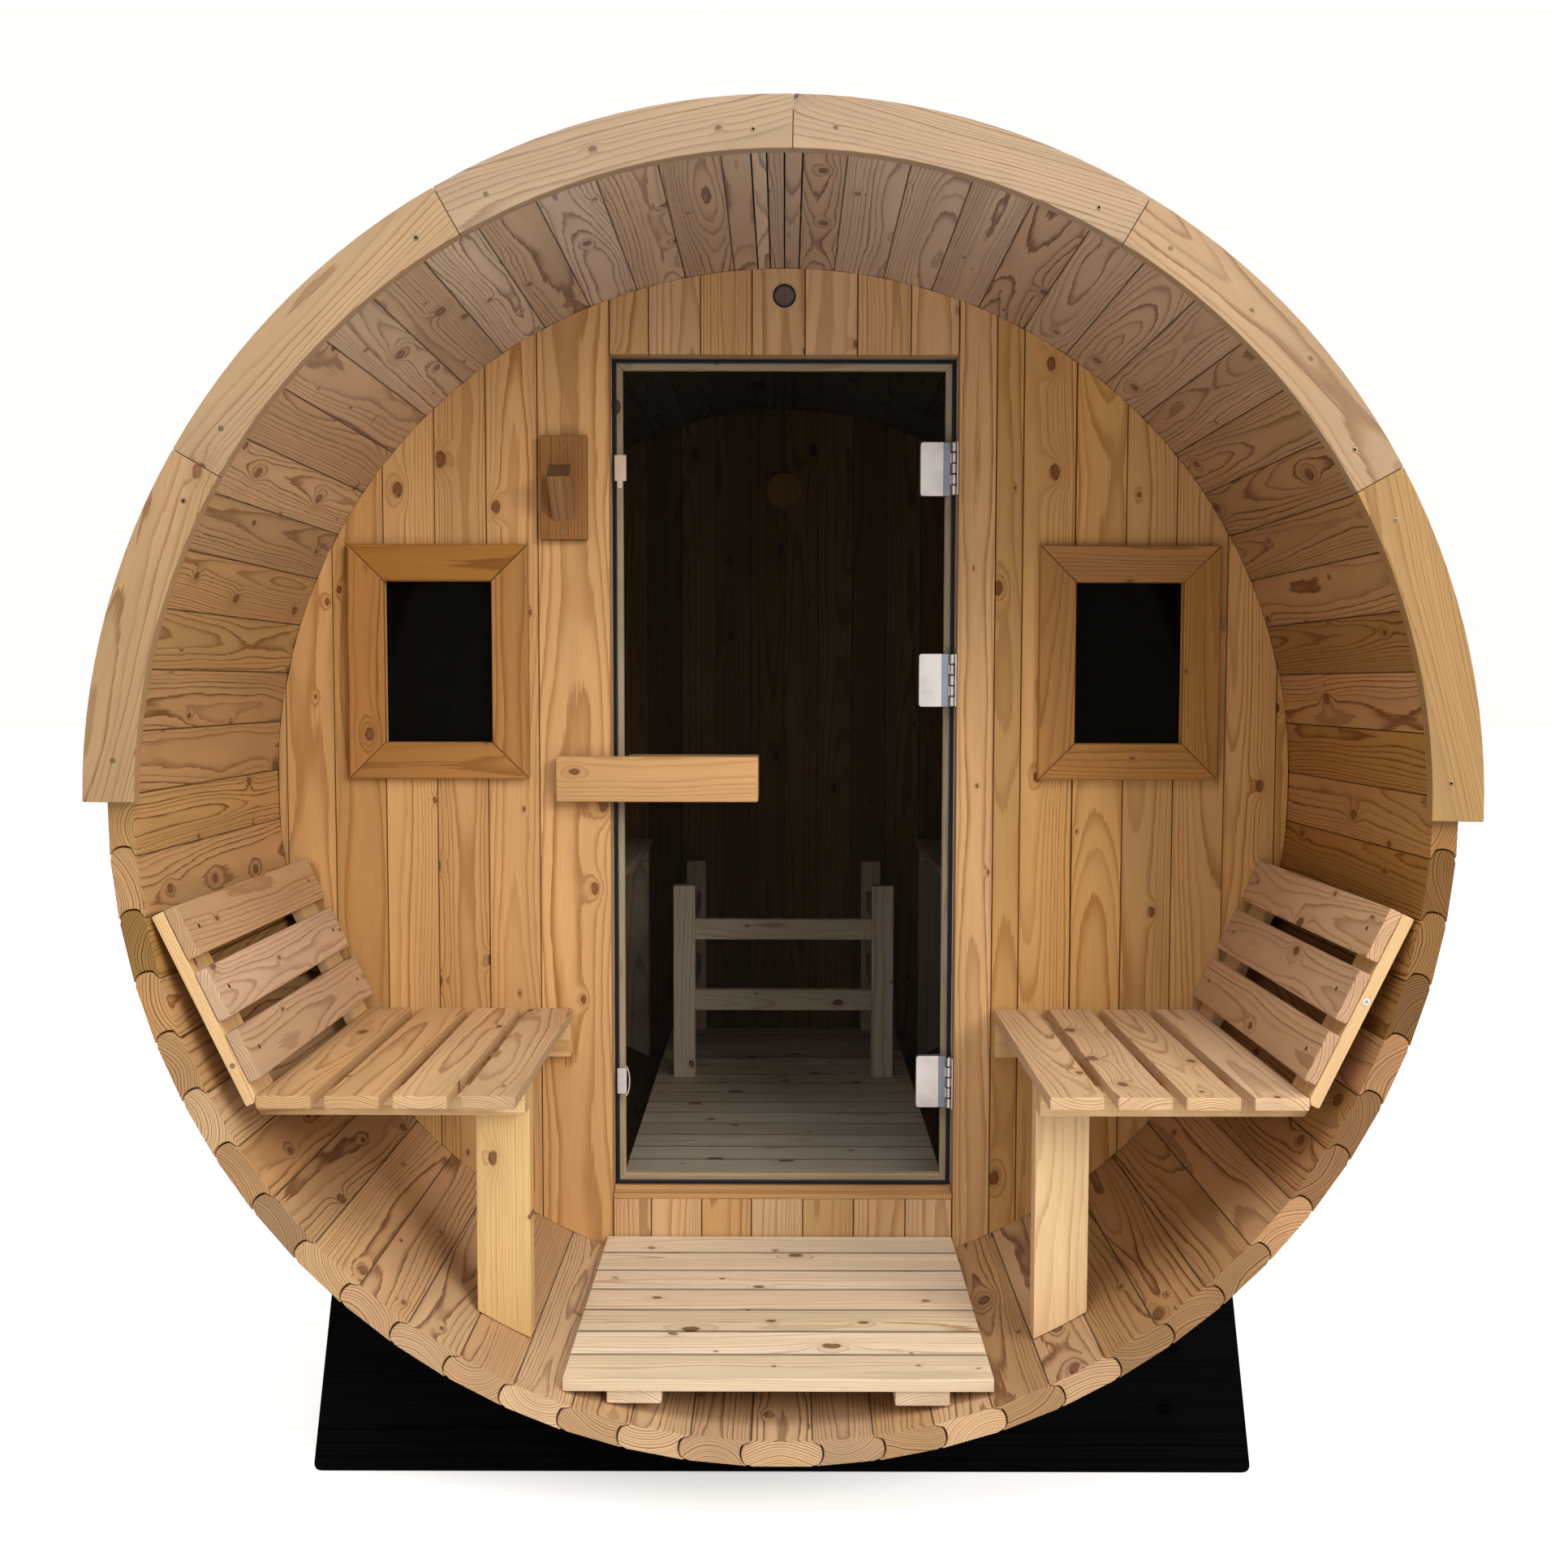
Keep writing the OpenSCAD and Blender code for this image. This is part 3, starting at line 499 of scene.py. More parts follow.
def timber(stock, node, radius, trim=0.0, side=0, flat=False, painted_light_and_shade=None):
    """A node's boards with their edges rounded, with trim taken off both sides across (side 0) or through
    (side 1) each, or with undersides that are flat from their outer ends on. weather gives the painted light
    and shade that a board's centre and axes add to its tone."""
    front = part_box(node)[0].y
    for points, faces in solids(node):
        axes, centre = board_axes(points, faces)
        if flat:
            outer = max(abs(p.x) for p in points)
            foot = min(p.z for p in points if abs(p.x) > outer - 1e-4)
            points = [Vector((p.x, p.y, max(p.z, foot))) for p in points]
        if trim:
            reach = [(p - Vector(centre)).dot(axes[side]) for p in points]
            most = max(abs(d) for d in reach)
            points = [p - axes[side] * (d * trim / most) for p, d in zip(points, reach)]
        points, faces = softened(points, faces, radius)
        # Painted shade: the side faces of boards trimmed across, which face the gaps between them, are
        # darkened.
        painted_joint_shade = ()
        if trim and side == 0:
            painted_joint_shade = {k for k, f in enumerate(faces)
                     if abs(face_normal([points[i] for i in f]).dot(axes[0])) > 0.35
                     and min(points[i].y for i in f) > front + 0.01}
        tone = [stock.rng.random() for _ in range(3)]
        if painted_light_and_shade:
            tone = [a + b for a, b in zip(tone, painted_light_and_shade(centre, axes))]
        stock.board(points, faces, axes, centre, tone, painted_joint_shade=painted_joint_shade)


def plank(stock, low, high, radius, tone=None):
    """A straight board between two corners; its grain runs along its longest side."""
    size = [b - a for a, b in zip(low, high)]
    thin, broad, long = sorted(range(3), key=lambda i: size[i])
    unit = (X, Y, Z)
    centre = [(a + b) / 2 for a, b in zip(low, high)]
    stock.board(*softened(*box_solid(low, high), radius), (unit[broad], unit[thin], unit[long]), centre, tone)


def prism(outline, y0, y1, inset, ease):
    """An outline of (x, z) points drawn along y. inset gives each point's (x, z) on the two faces,
    which lie ease beyond the full outline."""
    rings = [(inset, y0), (outline, y0 + ease), (outline, y1 - ease), (inset, y1)]
    points = [(x, y, z) for ring, y in rings for x, z in ring]
    n = len(outline)
    faces = [list(range(n)), [3 * n + i for i in reversed(range(n))]]
    for k in range(3):
        for i in range(n):
            j = (i + 1) % n
            faces.append([k * n + i, (k + 1) * n + i, (k + 1) * n + j, k * n + j])
    return points, faces


def rounded(outline, radius, pick):
    """The outline with the corners that pick chooses rounded."""
    out = []
    for i, p in enumerate(outline):
        if not pick(p):
            out.append(p)
            continue
        a, b, c = (Vector(outline[(i + k) % len(outline)]) for k in (-1, 0, 1))
        start, end = b + (a - b).normalized() * radius, b + (c - b).normalized() * radius
        for k in range(7):
            t = k / 6
            out.append(tuple(start * (1 - t) ** 2 + b * 2 * t * (1 - t) + end * t * t))
    return out


def shrink(outline, d):
    """The outline with each side moved in by d. It turns counter-clockwise."""
    n, out = len(outline), []
    for i in range(n):
        a, b, c = (Vector(outline[(i + k) % n]) for k in (-1, 0, 1))
        u, v = (b - a).normalized(), (c - b).normalized()
        nu, nv = Vector((-u.y, u.x)), Vector((-v.y, v.x))
        m = nu + nv
        out.append(tuple(b + m * (d / max(0.2, m.dot(nu)))))
    return out


def tube(n, rings):
    """Faces round rings of n points each, with both ends filled."""
    faces = [[r * n + k, r * n + (k + 1) % n, (r + 1) * n + (k + 1) % n, (r + 1) * n + k]
             for r in range(rings - 1) for k in range(n)]
    return faces + [list(reversed(range(n))), [(rings - 1) * n + k for k in range(n)]]


def turned(centre, axis, rows, steps, turn=0.0):
    """Rings of points about an axis. A row is a height and a radius, or a radius by angle."""
    axis = Vector(axis).normalized()
    side = axis.orthogonal().normalized()
    other = axis.cross(side)
    points = []
    for h, radius in rows:
        for k in range(steps):
            a = 2 * pi * k / steps
            r = radius
            if callable(radius):
                a += turn
                r = radius(a)
            points.append(Vector(centre) + axis * h + (side * cos(a) + other * sin(a)) * r)
    return points


def cylinder(centre, axis, radius, length, ease, steps=24):
    """A round bar from centre along axis, its ends eased."""
    rows = [(0.0, radius - ease), (ease, radius), (length - ease, radius), (length, radius - ease)]
    if not ease:
        rows = rows[1:3]
    return turned(centre, axis, rows, steps), tube(steps, len(rows))


def dress(node, material, ease=0.0):
    """A CAD node that stays as it is, with its own material and slightly eased edges."""
    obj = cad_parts[node]
    if not obj.material_slots:
        obj.data.materials.append(material)
    for s in obj.material_slots:
        s.link = "OBJECT"
        s.material = material
    weld = obj.modifiers.new("weld", "WELD")
    weld.merge_threshold = 1e-6
    if ease:
        bevel = obj.modifiers.new("ease", "BEVEL")
        bevel.width = ease
        bevel.segments = 2
        bevel.limit_method = "ANGLE"
        bevel.angle_limit = radians(35)


# Barrel

STAVE_CROWN, STAVE_EASE, FLAT_EASE, STAVE_PLAY = 0.0165, 0.0009, 0.0042, 0.0006
END_PLAY, END_EASE, END_INSET = 0.0012, 0.0060, 0.0017


def stave_profile(lower, upper, u0, u1):
    """Section of a stave as (u, w): u along the barrel's turn, w out from its axis. lower and upper are
    the bulges of its two edges: 1 a bead, -1 a cove with a blunt outer lip, 0 flat. u0 and u1 are shares
    of the half width."""
    def edge(share, bulge, sign):
        row = []
        for k in range(13):
            s = k / 12
            w = R_IN + (R_OUT - R_IN) * s
            u = share * w * tan(HALF) - sign * STAVE_PLAY
            swell = sqrt(1.0 - abs(2 * s - 1) ** 2.2)
            if bulge < 0 and s > 0.8:
                swell = max(swell, 0.2)
            row.append((u + sign * bulge * STAVE_CROWN * swell, w))
        (ua, wa), (ub, wb) = row[0], row[-1]
        rise = STAVE_EASE if bulge else FLAT_EASE
        return [(ua - sign * STAVE_EASE, wa), (ua, wa + rise), *row[2:-1],
                (ub, wb - STAVE_EASE), (ub - sign * STAVE_EASE, wb)]
    return edge(u1, upper, 1) + edge(u0, lower, -1)[::-1]


def stave(stock, i, lower, upper, u0=-1.0, u1=1.0):
    """Stave i, counted from the lowest one to the right and up. Its tone carries painted light and shade:
    greyer at the top and foot, browner and darker on the right as painted shade, paler at the foot and top
    as painted light."""
    rng = stock.rng
    a = 2 * HALF * i
    out = Vector((sin(a), 0, -cos(a)))
    turn = Vector((cos(a), 0, sin(a)))
    hub = Vector((0, 0, AXIS_Z))
    profile = stave_profile(lower, upper, u0, u1)
    y0, y1 = FRONT_Y + rng.uniform(0.0, END_PLAY), REAR_Y - rng.uniform(0.0, END_PLAY)
    n = len(profile)
    um = sum(u for u, _ in profile) / n
    wm = sum(w for _, w in profile) / n
    points = []
    for y, inset in ((y0, END_INSET), (y0 + END_EASE, 0.0), (y1 - END_EASE, 0.0), (y1, END_INSET)):
        for u, w in profile:
            du, dw = u - um, w - wm
            k = 1.0 - inset / max(0.01, hypot(du, dw))
            points.append(hub + out * (wm + dw * k) + turn * (um + du * k) + Vector((0, y, 0)))
    centre = hub + out * (R_IN + R_OUT) / 2 + turn * (u0 + u1) / 2 * R_IN * tan(HALF)
    # Painted shade: the stave's side faces, which lie in the joints between staves, are darkened.
    painted_joint_shade = {n + k for k in range(n) if k not in (n // 2 - 1, n - 1)}
    # Painted light and shade by where the stave faces: darker and browner on the right, paler and greyer at
    # the top and foot.
    right, high, low = max(0.0, out.x), max(0.0, out.z), max(0.0, -out.z)
    painted_light_tint = 0.4 * (1.0 - abs(out.z)) + 0.55 * right - 2.9 * high ** 1.5 - 0.8 * low
    light = -0.48 * right + 0.28 * low + 0.22 * high
    tone = (rng.random() * (1.0 - 0.7 * right) + painted_light_tint, rng.random() + light, rng.random() - 1.2 * right)
    stock.board(points, tube(n, 4), (turn, out, Y), centre, tone, painted_joint_shade=painted_joint_shade)


# The lowest stave has two beads. The two at the top are ripped into closing strips.
SPECIAL = {0: [(1, 1)], 32: [(-1, 0, -1.0, 0.42), (0, 0, 0.42, 1.0)],
           33: [(0, 0, -1.0, -0.44), (0, 0, -0.44, 0.06), (0, -1, 0.06, 1.0)]}
groups = {"bottom": [*range(57, STAVES), *range(9)], "right": range(9, 25),
          "top": range(25, 41), "left": range(41, 57)}
for k, (side, members) in enumerate(groups.items()):
    stock = Stock(100 + k)
    for i in members:
        for cut in SPECIAL.get(i, [(-1, 1) if i < 33 else (1, -1)]):
            stave(stock, i, *cut)
    stock.piece(side + "_stave_boards", STAVE, "stave_wood", [side + "_staves"])

for k, end in enumerate(("front", "rear")):
    stock = Stock(120 + k)
    # Painted sky light: fascia boards are made greyer the higher they stand above the axis, and the rest more
    # saturated.
    timber(stock, end + "_fascia", 0.0022, trim=0.0007, side=1,
           painted_light_and_shade=lambda c, axes: (0.7 - 2.3 * max(0.0, c[2] - AXIS_Z) ** 1.5, 0.1, 0.0))
    stock.piece(end + "_fascia_boards", FASCIA, "fascia_wood", [end + "_fascia"])

screws = Parts()
FASCIA_Y, FASCIA_BOARDS, FASCIA_START = 1.2244, 6, -0.7
for out in (-1, 1):
    for b in range(FASCIA_BOARDS):
        start = radians(FASCIA_START + 30 * b)
        for along, r in ((3.3, 1.037), (26.4, 1.042)):
            a = start + radians(along)
            at = (-out * cos(a) * r, out * FASCIA_Y, AXIS_Z + sin(a) * r)
            screws.screw(at, (0, out, 0), 0.0046, along)

# Roof: overlapping felt shingles, laid from the eaves up on both sides, and a ridge row

stock = Stock(140)
FIRST, LAST, COURSE = radians(1.5), radians(89.9), radians(7.4)
TOP, RIDGE_HALF, RIDGE_R = radians(90), radians(4.4), 1.0708
ROOF_Y0, ROOF_Y1 = FRONT_Y + 0.0005, REAR_Y - 0.0005
SHINGLE_W, SLOT, HAIRLINE = 0.2, 0.005, 0.0006
LOW_R, HIGH_R = 1.0668, 1.0626


def shingle(y0, y1, a_low, a_high, r_low, r_high, side, thick=0.0034):
    """A curved tile between two angles above the horizontal, at a radius for each."""
    points, faces = [], []
    steps = 4
    for k in range(steps + 1):
        s = k / steps
        a = a_low + (a_high - a_low) * s
        for r in (r_low + (r_high - r_low) * s, r_low + (r_high - r_low) * s + thick):
            for y in (y0, y1):
                points.append((side * cos(a) * r, y, AXIS_Z + sin(a) * r))
    for k in range(steps):
        b = 4 * k
        faces += [[b, b + 4, b + 5, b + 1], [b + 2, b + 3, b + 7, b + 6],
                  [b, b + 2, b + 6, b + 4], [b + 1, b + 5, b + 7, b + 3]]
    faces += [[0, 1, 3, 2], [4 * steps, 4 * steps + 2, 4 * steps + 3, 4 * steps + 1]]
    mid = (a_low + a_high) / 2
    out = Vector((side * cos(mid), 0, sin(mid)))
    centre = Vector(points[0])
    stock.board(points, faces, (Y, out, out.cross(Vector(Y))), centre)


for side in (-1, 1):
    shingle(ROOF_Y0, ROOF_Y1, FIRST + 0.001, FIRST + COURSE * 1.05, 1.0640, 1.0624, side, 0.0024)
    course = 0
    a = FIRST
    while a < LAST - radians(2.0):
        top = min(a + COURSE * 2.05, LAST)
        y = ROOF_Y0 - (SHINGLE_W / 2 if course % 2 else 0.0)
        while y < REAR_Y - 0.001:
            lo, hi = max(y, ROOF_Y0), min(y + SHINGLE_W - SLOT, ROOF_Y1)
            if hi - lo > 0.012:
                lift = stock.rng.uniform(0.0, 0.0008)
                foot = a + stock.rng.uniform(-0.0008, 0.0008)
                shingle(lo, hi, foot, top, LOW_R + lift, HIGH_R, side)
            y += SHINGLE_W
        a += COURSE
        course += 1
y = ROOF_Y0
while y < REAR_Y - 0.05:
    hi = min(y + SHINGLE_W - HAIRLINE, ROOF_Y1)
    shingle(y, hi, TOP - RIDGE_HALF, TOP + RIDGE_HALF, RIDGE_R, RIDGE_R, 1)
    y += SHINGLE_W
stock.piece("roof_shingles", FELT, "roof_felt", ["roof_covering"], smooth=30.0)

# Hoops with their tensioners

dress("barrel_hoops", ZINC)
clamps = Parts()
HOOP_Y, HOOP_R, CLAMP_TURN = 0.72, 1.0635, radians(-38.0)
LUG_AT, BOLT_OUT, BOLT_HALF = 0.034, 0.011, 0.052
for y in (-HOOP_Y, HOOP_Y):
    for side in (-1, 1):
        out = Vector((side * cos(CLAMP_TURN), 0, sin(CLAMP_TURN)))
        turn = Vector((-side * sin(CLAMP_TURN), 0, cos(CLAMP_TURN)))
        hub = Vector((0, y, AXIS_Z)) + out * HOOP_R
        for s in (-1, 1):
            for low, high, ease, flip in (((-0.016, 0.0, -0.002), (0.016, 0.020, 0.002), 0.0012, 1),
                                          ((-0.017, -0.001, 0.0), (0.017, 0.0012, 0.05), 0.0006, s)):
                points, faces = softened(*box_solid(low, high), ease)
                clamps.put([hub + Vector((0, p[0], 0)) + out * p[1] + turn * (s * LUG_AT + flip * p[2])
                            for p in points], faces)
            nut = hub + out * BOLT_OUT + turn * s * 0.036
            clamps.put(*cylinder(nut, turn * s, 0.0068, 0.006, 0.0006, 6))
        bolt = hub + out * BOLT_OUT - turn * BOLT_HALF
        clamps.put(*cylinder(bolt, turn, 0.0038, 2 * BOLT_HALF, 0.0006, 12))
clamps.piece("hoop_tensioners", ZINC, "hoop_steel")


# Walls

BOARD_GAP, VEE, VEE_DEEP = 0.0006, 0.0011, 0.003


def wall(stock, joints, y0, y1, floor, roof, holes=(), shade=0.0, warm=0.0, pale=()):
    """Upright boards between the joints. floor and roof give the height of each board's ends at x.
    pale numbers the lightest boards."""
    for k, (x0, x1) in enumerate(zip(joints, joints[1:])):
        a, b = x0 + BOARD_GAP, x1 - BOARD_GAP
        tone = (stock.rng.random() + warm, (0.9 if k in pale else stock.rng.random()) + shade,
                stock.rng.random())
        pith, slide = stock.rng.uniform(0.06, 0.30), stock.rng.uniform(0, 30)
        state = stock.rng.getstate()
        cuts = sorted({a, b, *(x for h in holes for x in h[:2] if a < x < b)})
        for c, d in zip(cuts, cuts[1:]):
            spans = [(floor, roof)]
            for h in holes:
                if h[0] <= (c + d) / 2 <= h[1]:
                    spans = [(floor, lambda x, h=h: h[2]), (lambda x, h=h: h[3], roof)]
            for low, high in spans:
                xs = [c + (d - c) * j / 6 for j in range(7)]
                outline = [(x, low(x)) for x in xs] + [(x, high(x)) for x in reversed(xs)]
                inset = [(x + VEE * ((abs(x - a) < 1e-9) - (abs(x - b) < 1e-9)), z) for x, z in outline]
                stock.rng.setstate(state)
                points, faces = prism(outline, y0, y1, inset, VEE_DEEP)
                centre = ((x0 + x1) / 2, (y0 + y1) / 2, AXIS_Z)
                stock.board(points, faces, (X, Y, Z), centre, tone, pith, slide)


def rim(sign):
    """The barrel's inside as a height at x: sign 1 above, -1 below."""
    return lambda x: AXIS_Z + sign * sqrt(max(0.0, WALL_R ** 2 - x * x))


WIN_X, WIN_Z, WIN_W, WIN_H = 0.689, 1.414, 0.214, 0.321
DOORWAY_TOP, SILL_FOOT = 2.0224, 0.3182
holes = [(s * WIN_X - WIN_W / 2, s * WIN_X + WIN_W / 2, WIN_Z - WIN_H / 2, WIN_Z + WIN_H / 2)
         for s in (-1, 1)]
left_joints = [-WALL_END, -0.9995, -0.903, -0.800, -0.697, -0.594, -0.491, -0.3472]
right_joints = [0.3472, 0.4225, 0.4765, 0.581, 0.683, 0.784, 0.887, 0.990, WALL_END]
door_joints = [-0.3466, -0.269, -0.166, -0.064, 0.041, 0.145, 0.251, 0.3466]
for k, (name, node, joints, floor, roof, look) in enumerate((
    ("left_wall", "left", left_joints, rim(-1), rim(1), {"holes": holes, "warm": 0.3, "pale": (6,)}),
    ("right_wall", "right", right_joints, rim(-1), rim(1), {"holes": holes, "warm": 0.9}),
    ("over_door", "over_door", door_joints, lambda x: DOORWAY_TOP, rim(1), {}),
    # Painted light: shade 0.3 makes the boards under the door lighter than the rest of the wall.
    ("under_door", "under_door", door_joints, rim(-1), lambda x: SILL_FOOT, {"shade": 0.3}),
)):
    stock = Stock(161 + k)
    wall(stock, joints, WALL_Y0, WALL_Y1, floor, roof, **look)
    stock.piece(name + "_boards", WALL, "wall_wood", ["front_wall_" + node])

# The back wall's boards, and inside them a thin lining that keeps daylight out of their joints; its
# near-black colour is painted shade for the cabin.
stock = Stock(165)
LINING, BACK_PITCH = 0.012, 0.1026
back_joints = [-WALL_END, *(round(-0.9747 + BACK_PITCH * k, 4) for k in range(20)), WALL_END]
wall(stock, back_joints, BACK_Y0 + LINING + 0.0002, BACK_Y1, rim(-1), rim(1))
lining_joints = [-WALL_END, *(round(-0.9234 + BACK_PITCH * k, 4) for k in range(19)), WALL_END]
# Painted shade: shade=-2.9 makes the lining's boards near black.
wall(stock, lining_joints, BACK_Y0, BACK_Y0 + LINING, rim(-1), rim(1), shade=-2.9)
stock.piece("back_wall_boards", WALL, "wall_wood", ["back_wall"])


def mitred(stock, cx, cz, inner, outer, y0, y1, ease):
    """Four boards round an opening, mitred at the corners."""
    iw, ih, ow, oh = inner[0] / 2, inner[1] / 2, outer[0] / 2, outer[1] / 2
    gap = 0.0005
    sides = (
        [(-ow, -oh), (ow, -oh), (iw, -ih), (-iw, -ih)], [(ow, -oh), (ow, oh), (iw, ih), (iw, -ih)],
        [(ow, oh), (-ow, oh), (-iw, ih), (iw, ih)], [(-ow, oh), (-ow, -oh), (-iw, -ih), (-iw, ih)],
    )
    for k, quad in enumerate(sides):
        outline = shrink([(cx + x, cz + z) for x, z in quad], gap)
        points, faces = prism(outline, y0, y1, shrink(outline, ease), ease)
        along, across = (Z, X) if k % 2 else (X, Z)
        mid = [sum(p[i] for p in outline) / 4 for i in (0, 1)]
        stock.board(points, faces, (across, Y, along), (mid[0], (y0 + y1) / 2, mid[1]))


CASING, CASING_Y0, CASING_Y1, FRAME_W = (0.360, 0.467), -0.5203, -0.5003, 0.070
for k, (side, s) in enumerate((("left", -1), ("right", 1))):
    stock = Stock(170 + k)
    mitred(stock, s * WIN_X, WIN_Z, (WIN_W, WIN_H), CASING, CASING_Y0, CASING_Y1, 0.0018)
    stock.piece(side + "_window_casing", TRIM, "trim_wood", [side + "_window_trim"])
    dress(side + "_window_glass", WINDOW_GLASS)
stock = Stock(173)
low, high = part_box("door_frame")
wide, tall = high.x - low.x, high.z - low.z
mitred(stock, 0.0, (low.z + high.z) / 2, (wide - 2 * FRAME_W, tall - 2 * FRAME_W), (wide, tall),
       low.y, high.y, 0.003)
stock.piece("door_stop_boards", STOP, "trim_wood", ["door_frame"])
stock = Stock(174)
timber(stock, "door_sill", 0.0012)
stock.piece("door_sill_board", WALL, "floor_wood", ["door_sill"])

# Vent, valve and robe hook

vent, mesh = Parts(), Parts()
VENT_R, VENT_OUT, MESH_STEP, MESH_R = 0.0190, 0.0229, 0.003, 0.0007
centre, steps = Vector((0, -0.5, 2.136)), 48
rows = [(VENT_OUT, 0.0), (VENT_OUT, -0.0018), (0.0218, -0.0031), (0.0196, -0.0031), (VENT_R, -0.0022),
        (VENT_R, 0.0400), (VENT_OUT, 0.0400)]
points, faces = [], []
for row, (r, y) in enumerate(rows):
    after = (row + 1) % len(rows)
    for k in range(steps):
        a, j = 2 * pi * k / steps, (k + 1) % steps
        points.append(centre + Vector((cos(a) * r, y, sin(a) * r)))
        faces.append([row * steps + k, row * steps + j, after * steps + j, after * steps + k])
vent.put(points, faces)
for turn, y in ((45, -0.0008), (135, 0.0002)):
    d = Vector((cos(radians(turn)), 0, sin(radians(turn))))
    e = Vector((-d.z, 0, d.x))
    for k in range(-6, 7):
        off = k * MESH_STEP
        half = sqrt(max(0.0, VENT_R ** 2 - off * off))
        if half > MESH_STEP:
            start = centre + e * off - d * half + Vector((0, y, 0))
            mesh.put(*cylinder(start, d, MESH_R, 2 * half, 0.0, 6))
vent.put(*cylinder(centre + Vector((0, 0.004, 0)), Y, VENT_R, 0.004, 0.0, 32))
vent.piece("vent_grille", GAUZE, "vent_plastic", ["front_vent"])
mesh.piece("vent_mesh", MESH, "vent_plastic")

stock = Stock(180)
low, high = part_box("rear_valve")
DISC_R, STEM_R = 0.055, 0.0275
valve_z = (low.z + high.z) / 2
points, faces = cylinder((0, low.y, valve_z), Y, DISC_R, BACK_Y0 - 0.0003 - low.y, 0.004, 48)
stock.board(points, faces, (X, Y, Z), (0, low.y, valve_z))
points, faces = cylinder((0, BACK_Y0 - 0.0004, valve_z), Y, STEM_R, high.y - BACK_Y0 + 0.0004, 0.001, 32)
stock.board(points, faces, (X, Z, Y), (0, low.y, valve_z))
stock.piece("rear_valve_disc", TRIM, "trim_wood", ["rear_valve"])

stock = Stock(181)
low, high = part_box("robe_hook")
HOOK_FACE, PEG_HALF = -0.5223, 0.0225
hook_x = (low.x + high.x) / 2
plank(stock, (low.x, HOOK_FACE, low.z), (high.x, high.y, high.z), 0.0025)
peg = [(-0.5213, 1.6915), (-0.5213, 1.7481), (-0.5708, 1.7976), (-0.5991, 1.7693)]
points = [(hook_x + s * PEG_HALF, y, z) for s in (-1, 1) for y, z in peg]
faces = [(0, 1, 2, 3), (7, 6, 5, 4), *((k, (k + 1) % 4, (k + 1) % 4 + 4, k + 4) for k in range(4))]
stock.board(*softened(points, faces, 0.003), (X, (0, 1, 1), (0, -1, 1)), (hook_x, -0.56, 1.745))
stock.piece("robe_hook_block", HOOK, "trim_wood", ["robe_hook"])
for z in (1.671, 1.835):
    screws.screw((hook_x - 0.004, HOOK_FACE, z), FRONT, 0.0042)

# Door

dress("door_glass", DOOR_GLASS, 0.0008)
HINGE_X, HINGE_Y, HINGE_Z = 0.34, -0.484, (0.5573, 1.3793, 1.8013)
HINGE_H, KNUCKLES, KNUCKLE_R, PLAY = 0.107, 5, 0.006, 0.0010
PLATE_X, PLATE_CORNER, PLATE_EASE, SHEET_EASE = 0.273, 0.006, 0.0006, 0.0005
GLASS_Y0, GLASS_Y1, CLEAR = -0.476, -0.468, 0.0003
ON_GLASS = GLASS_Y0 - CLEAR


def plate(low, high, y0, y1):
    """A sheet-metal plate in x and z with its left corners rounded."""
    (x0, z0), (x1, z1), r = low, high, PLATE_CORNER
    outline = [(x1, z0), (x1, z1)]
    for cz, start in ((z1 - r, 90), (z0 + r, 180)):
        for k in range(7):
            a = radians(start + 15 * k)
            outline.append((x0 + r + cos(a) * r, cz + sin(a) * r))
    return prism(outline, y0, y1, shrink(outline, PLATE_EASE), PLATE_EASE)


glass_half, frame_half, bends = Parts(), Parts(), Parts()
for z in HINGE_Z:
    foot, step = z - HINGE_H / 2, HINGE_H / KNUCKLES
    head = foot + HINGE_H
    for x, y0, y1 in ((0.3195, GLASS_Y0 - 0.0034, ON_GLASS), (0.3262, GLASS_Y1 + CLEAR, GLASS_Y1 + 0.0028)):
        glass_half.put(*plate((PLATE_X, foot), (x, head), y0, y1))
    bends.block((0.3190, GLASS_Y0 - 0.0024, foot + 0.0006), (0.3335, ON_GLASS, head - 0.0006), SHEET_EASE)
    frame_half.block((0.3442, -0.499, foot + PLAY), (0.3467, -0.4905, head - PLAY), SHEET_EASE)
    for k in range(KNUCKLES):
        low, high = foot + k * step + PLAY, foot + (k + 1) * step - PLAY
        half = glass_half if k % 2 else frame_half
        half.put(*cylinder((HINGE_X, HINGE_Y, low), Z, KNUCKLE_R, high - low, 0.0011))
        if k % 2:
            half.block((0.3325, HINGE_Y + 0.0005, low), (HINGE_X, GLASS_Y0 - 0.0006, high), SHEET_EASE)
        else:
            half.block((0.3444, -0.4912, low), (0.3465, HINGE_Y, high), SHEET_EASE)
glass_half.piece("glass_hinge_plates", SATIN, "steel", ["door_hinges"], body="door")
frame_half.piece("jamb_hinge_leaves", SATIN, "steel", ["frame_hinges"])
bends.piece("glass_hinge_bends", SHADED, "steel", body="door")


def strips(half, z0, z1, width, y0, y1, radius):
    """Four strips round a doorway, butted at the corners."""
    made, inner = Parts(), half - width
    for (xa, za), (xb, zb) in (((-half, z0), (-inner, z1)), ((inner, z0), (half, z1)),
                               ((-inner, z0), (inner, z0 + width)), ((-inner, z1 - width), (inner, z1))):
        made.block((xa, y0, za), (xb, y1, zb), radius)
    return made


seal = strips(half=0.3395, z0=0.3435, z1=2.0145, width=0.003, y0=-0.4679, y1=-0.4610, radius=0.0008)
seal.piece("door_seal", EDGE, "vent_plastic", body="door")
gasket = strips(half=0.3466, z0=0.3366, z1=2.0216, width=0.0085, y0=-0.4588, y1=-0.4578, radius=0.0004)
gasket.piece("frame_gasket", RUBBER, "vent_plastic")

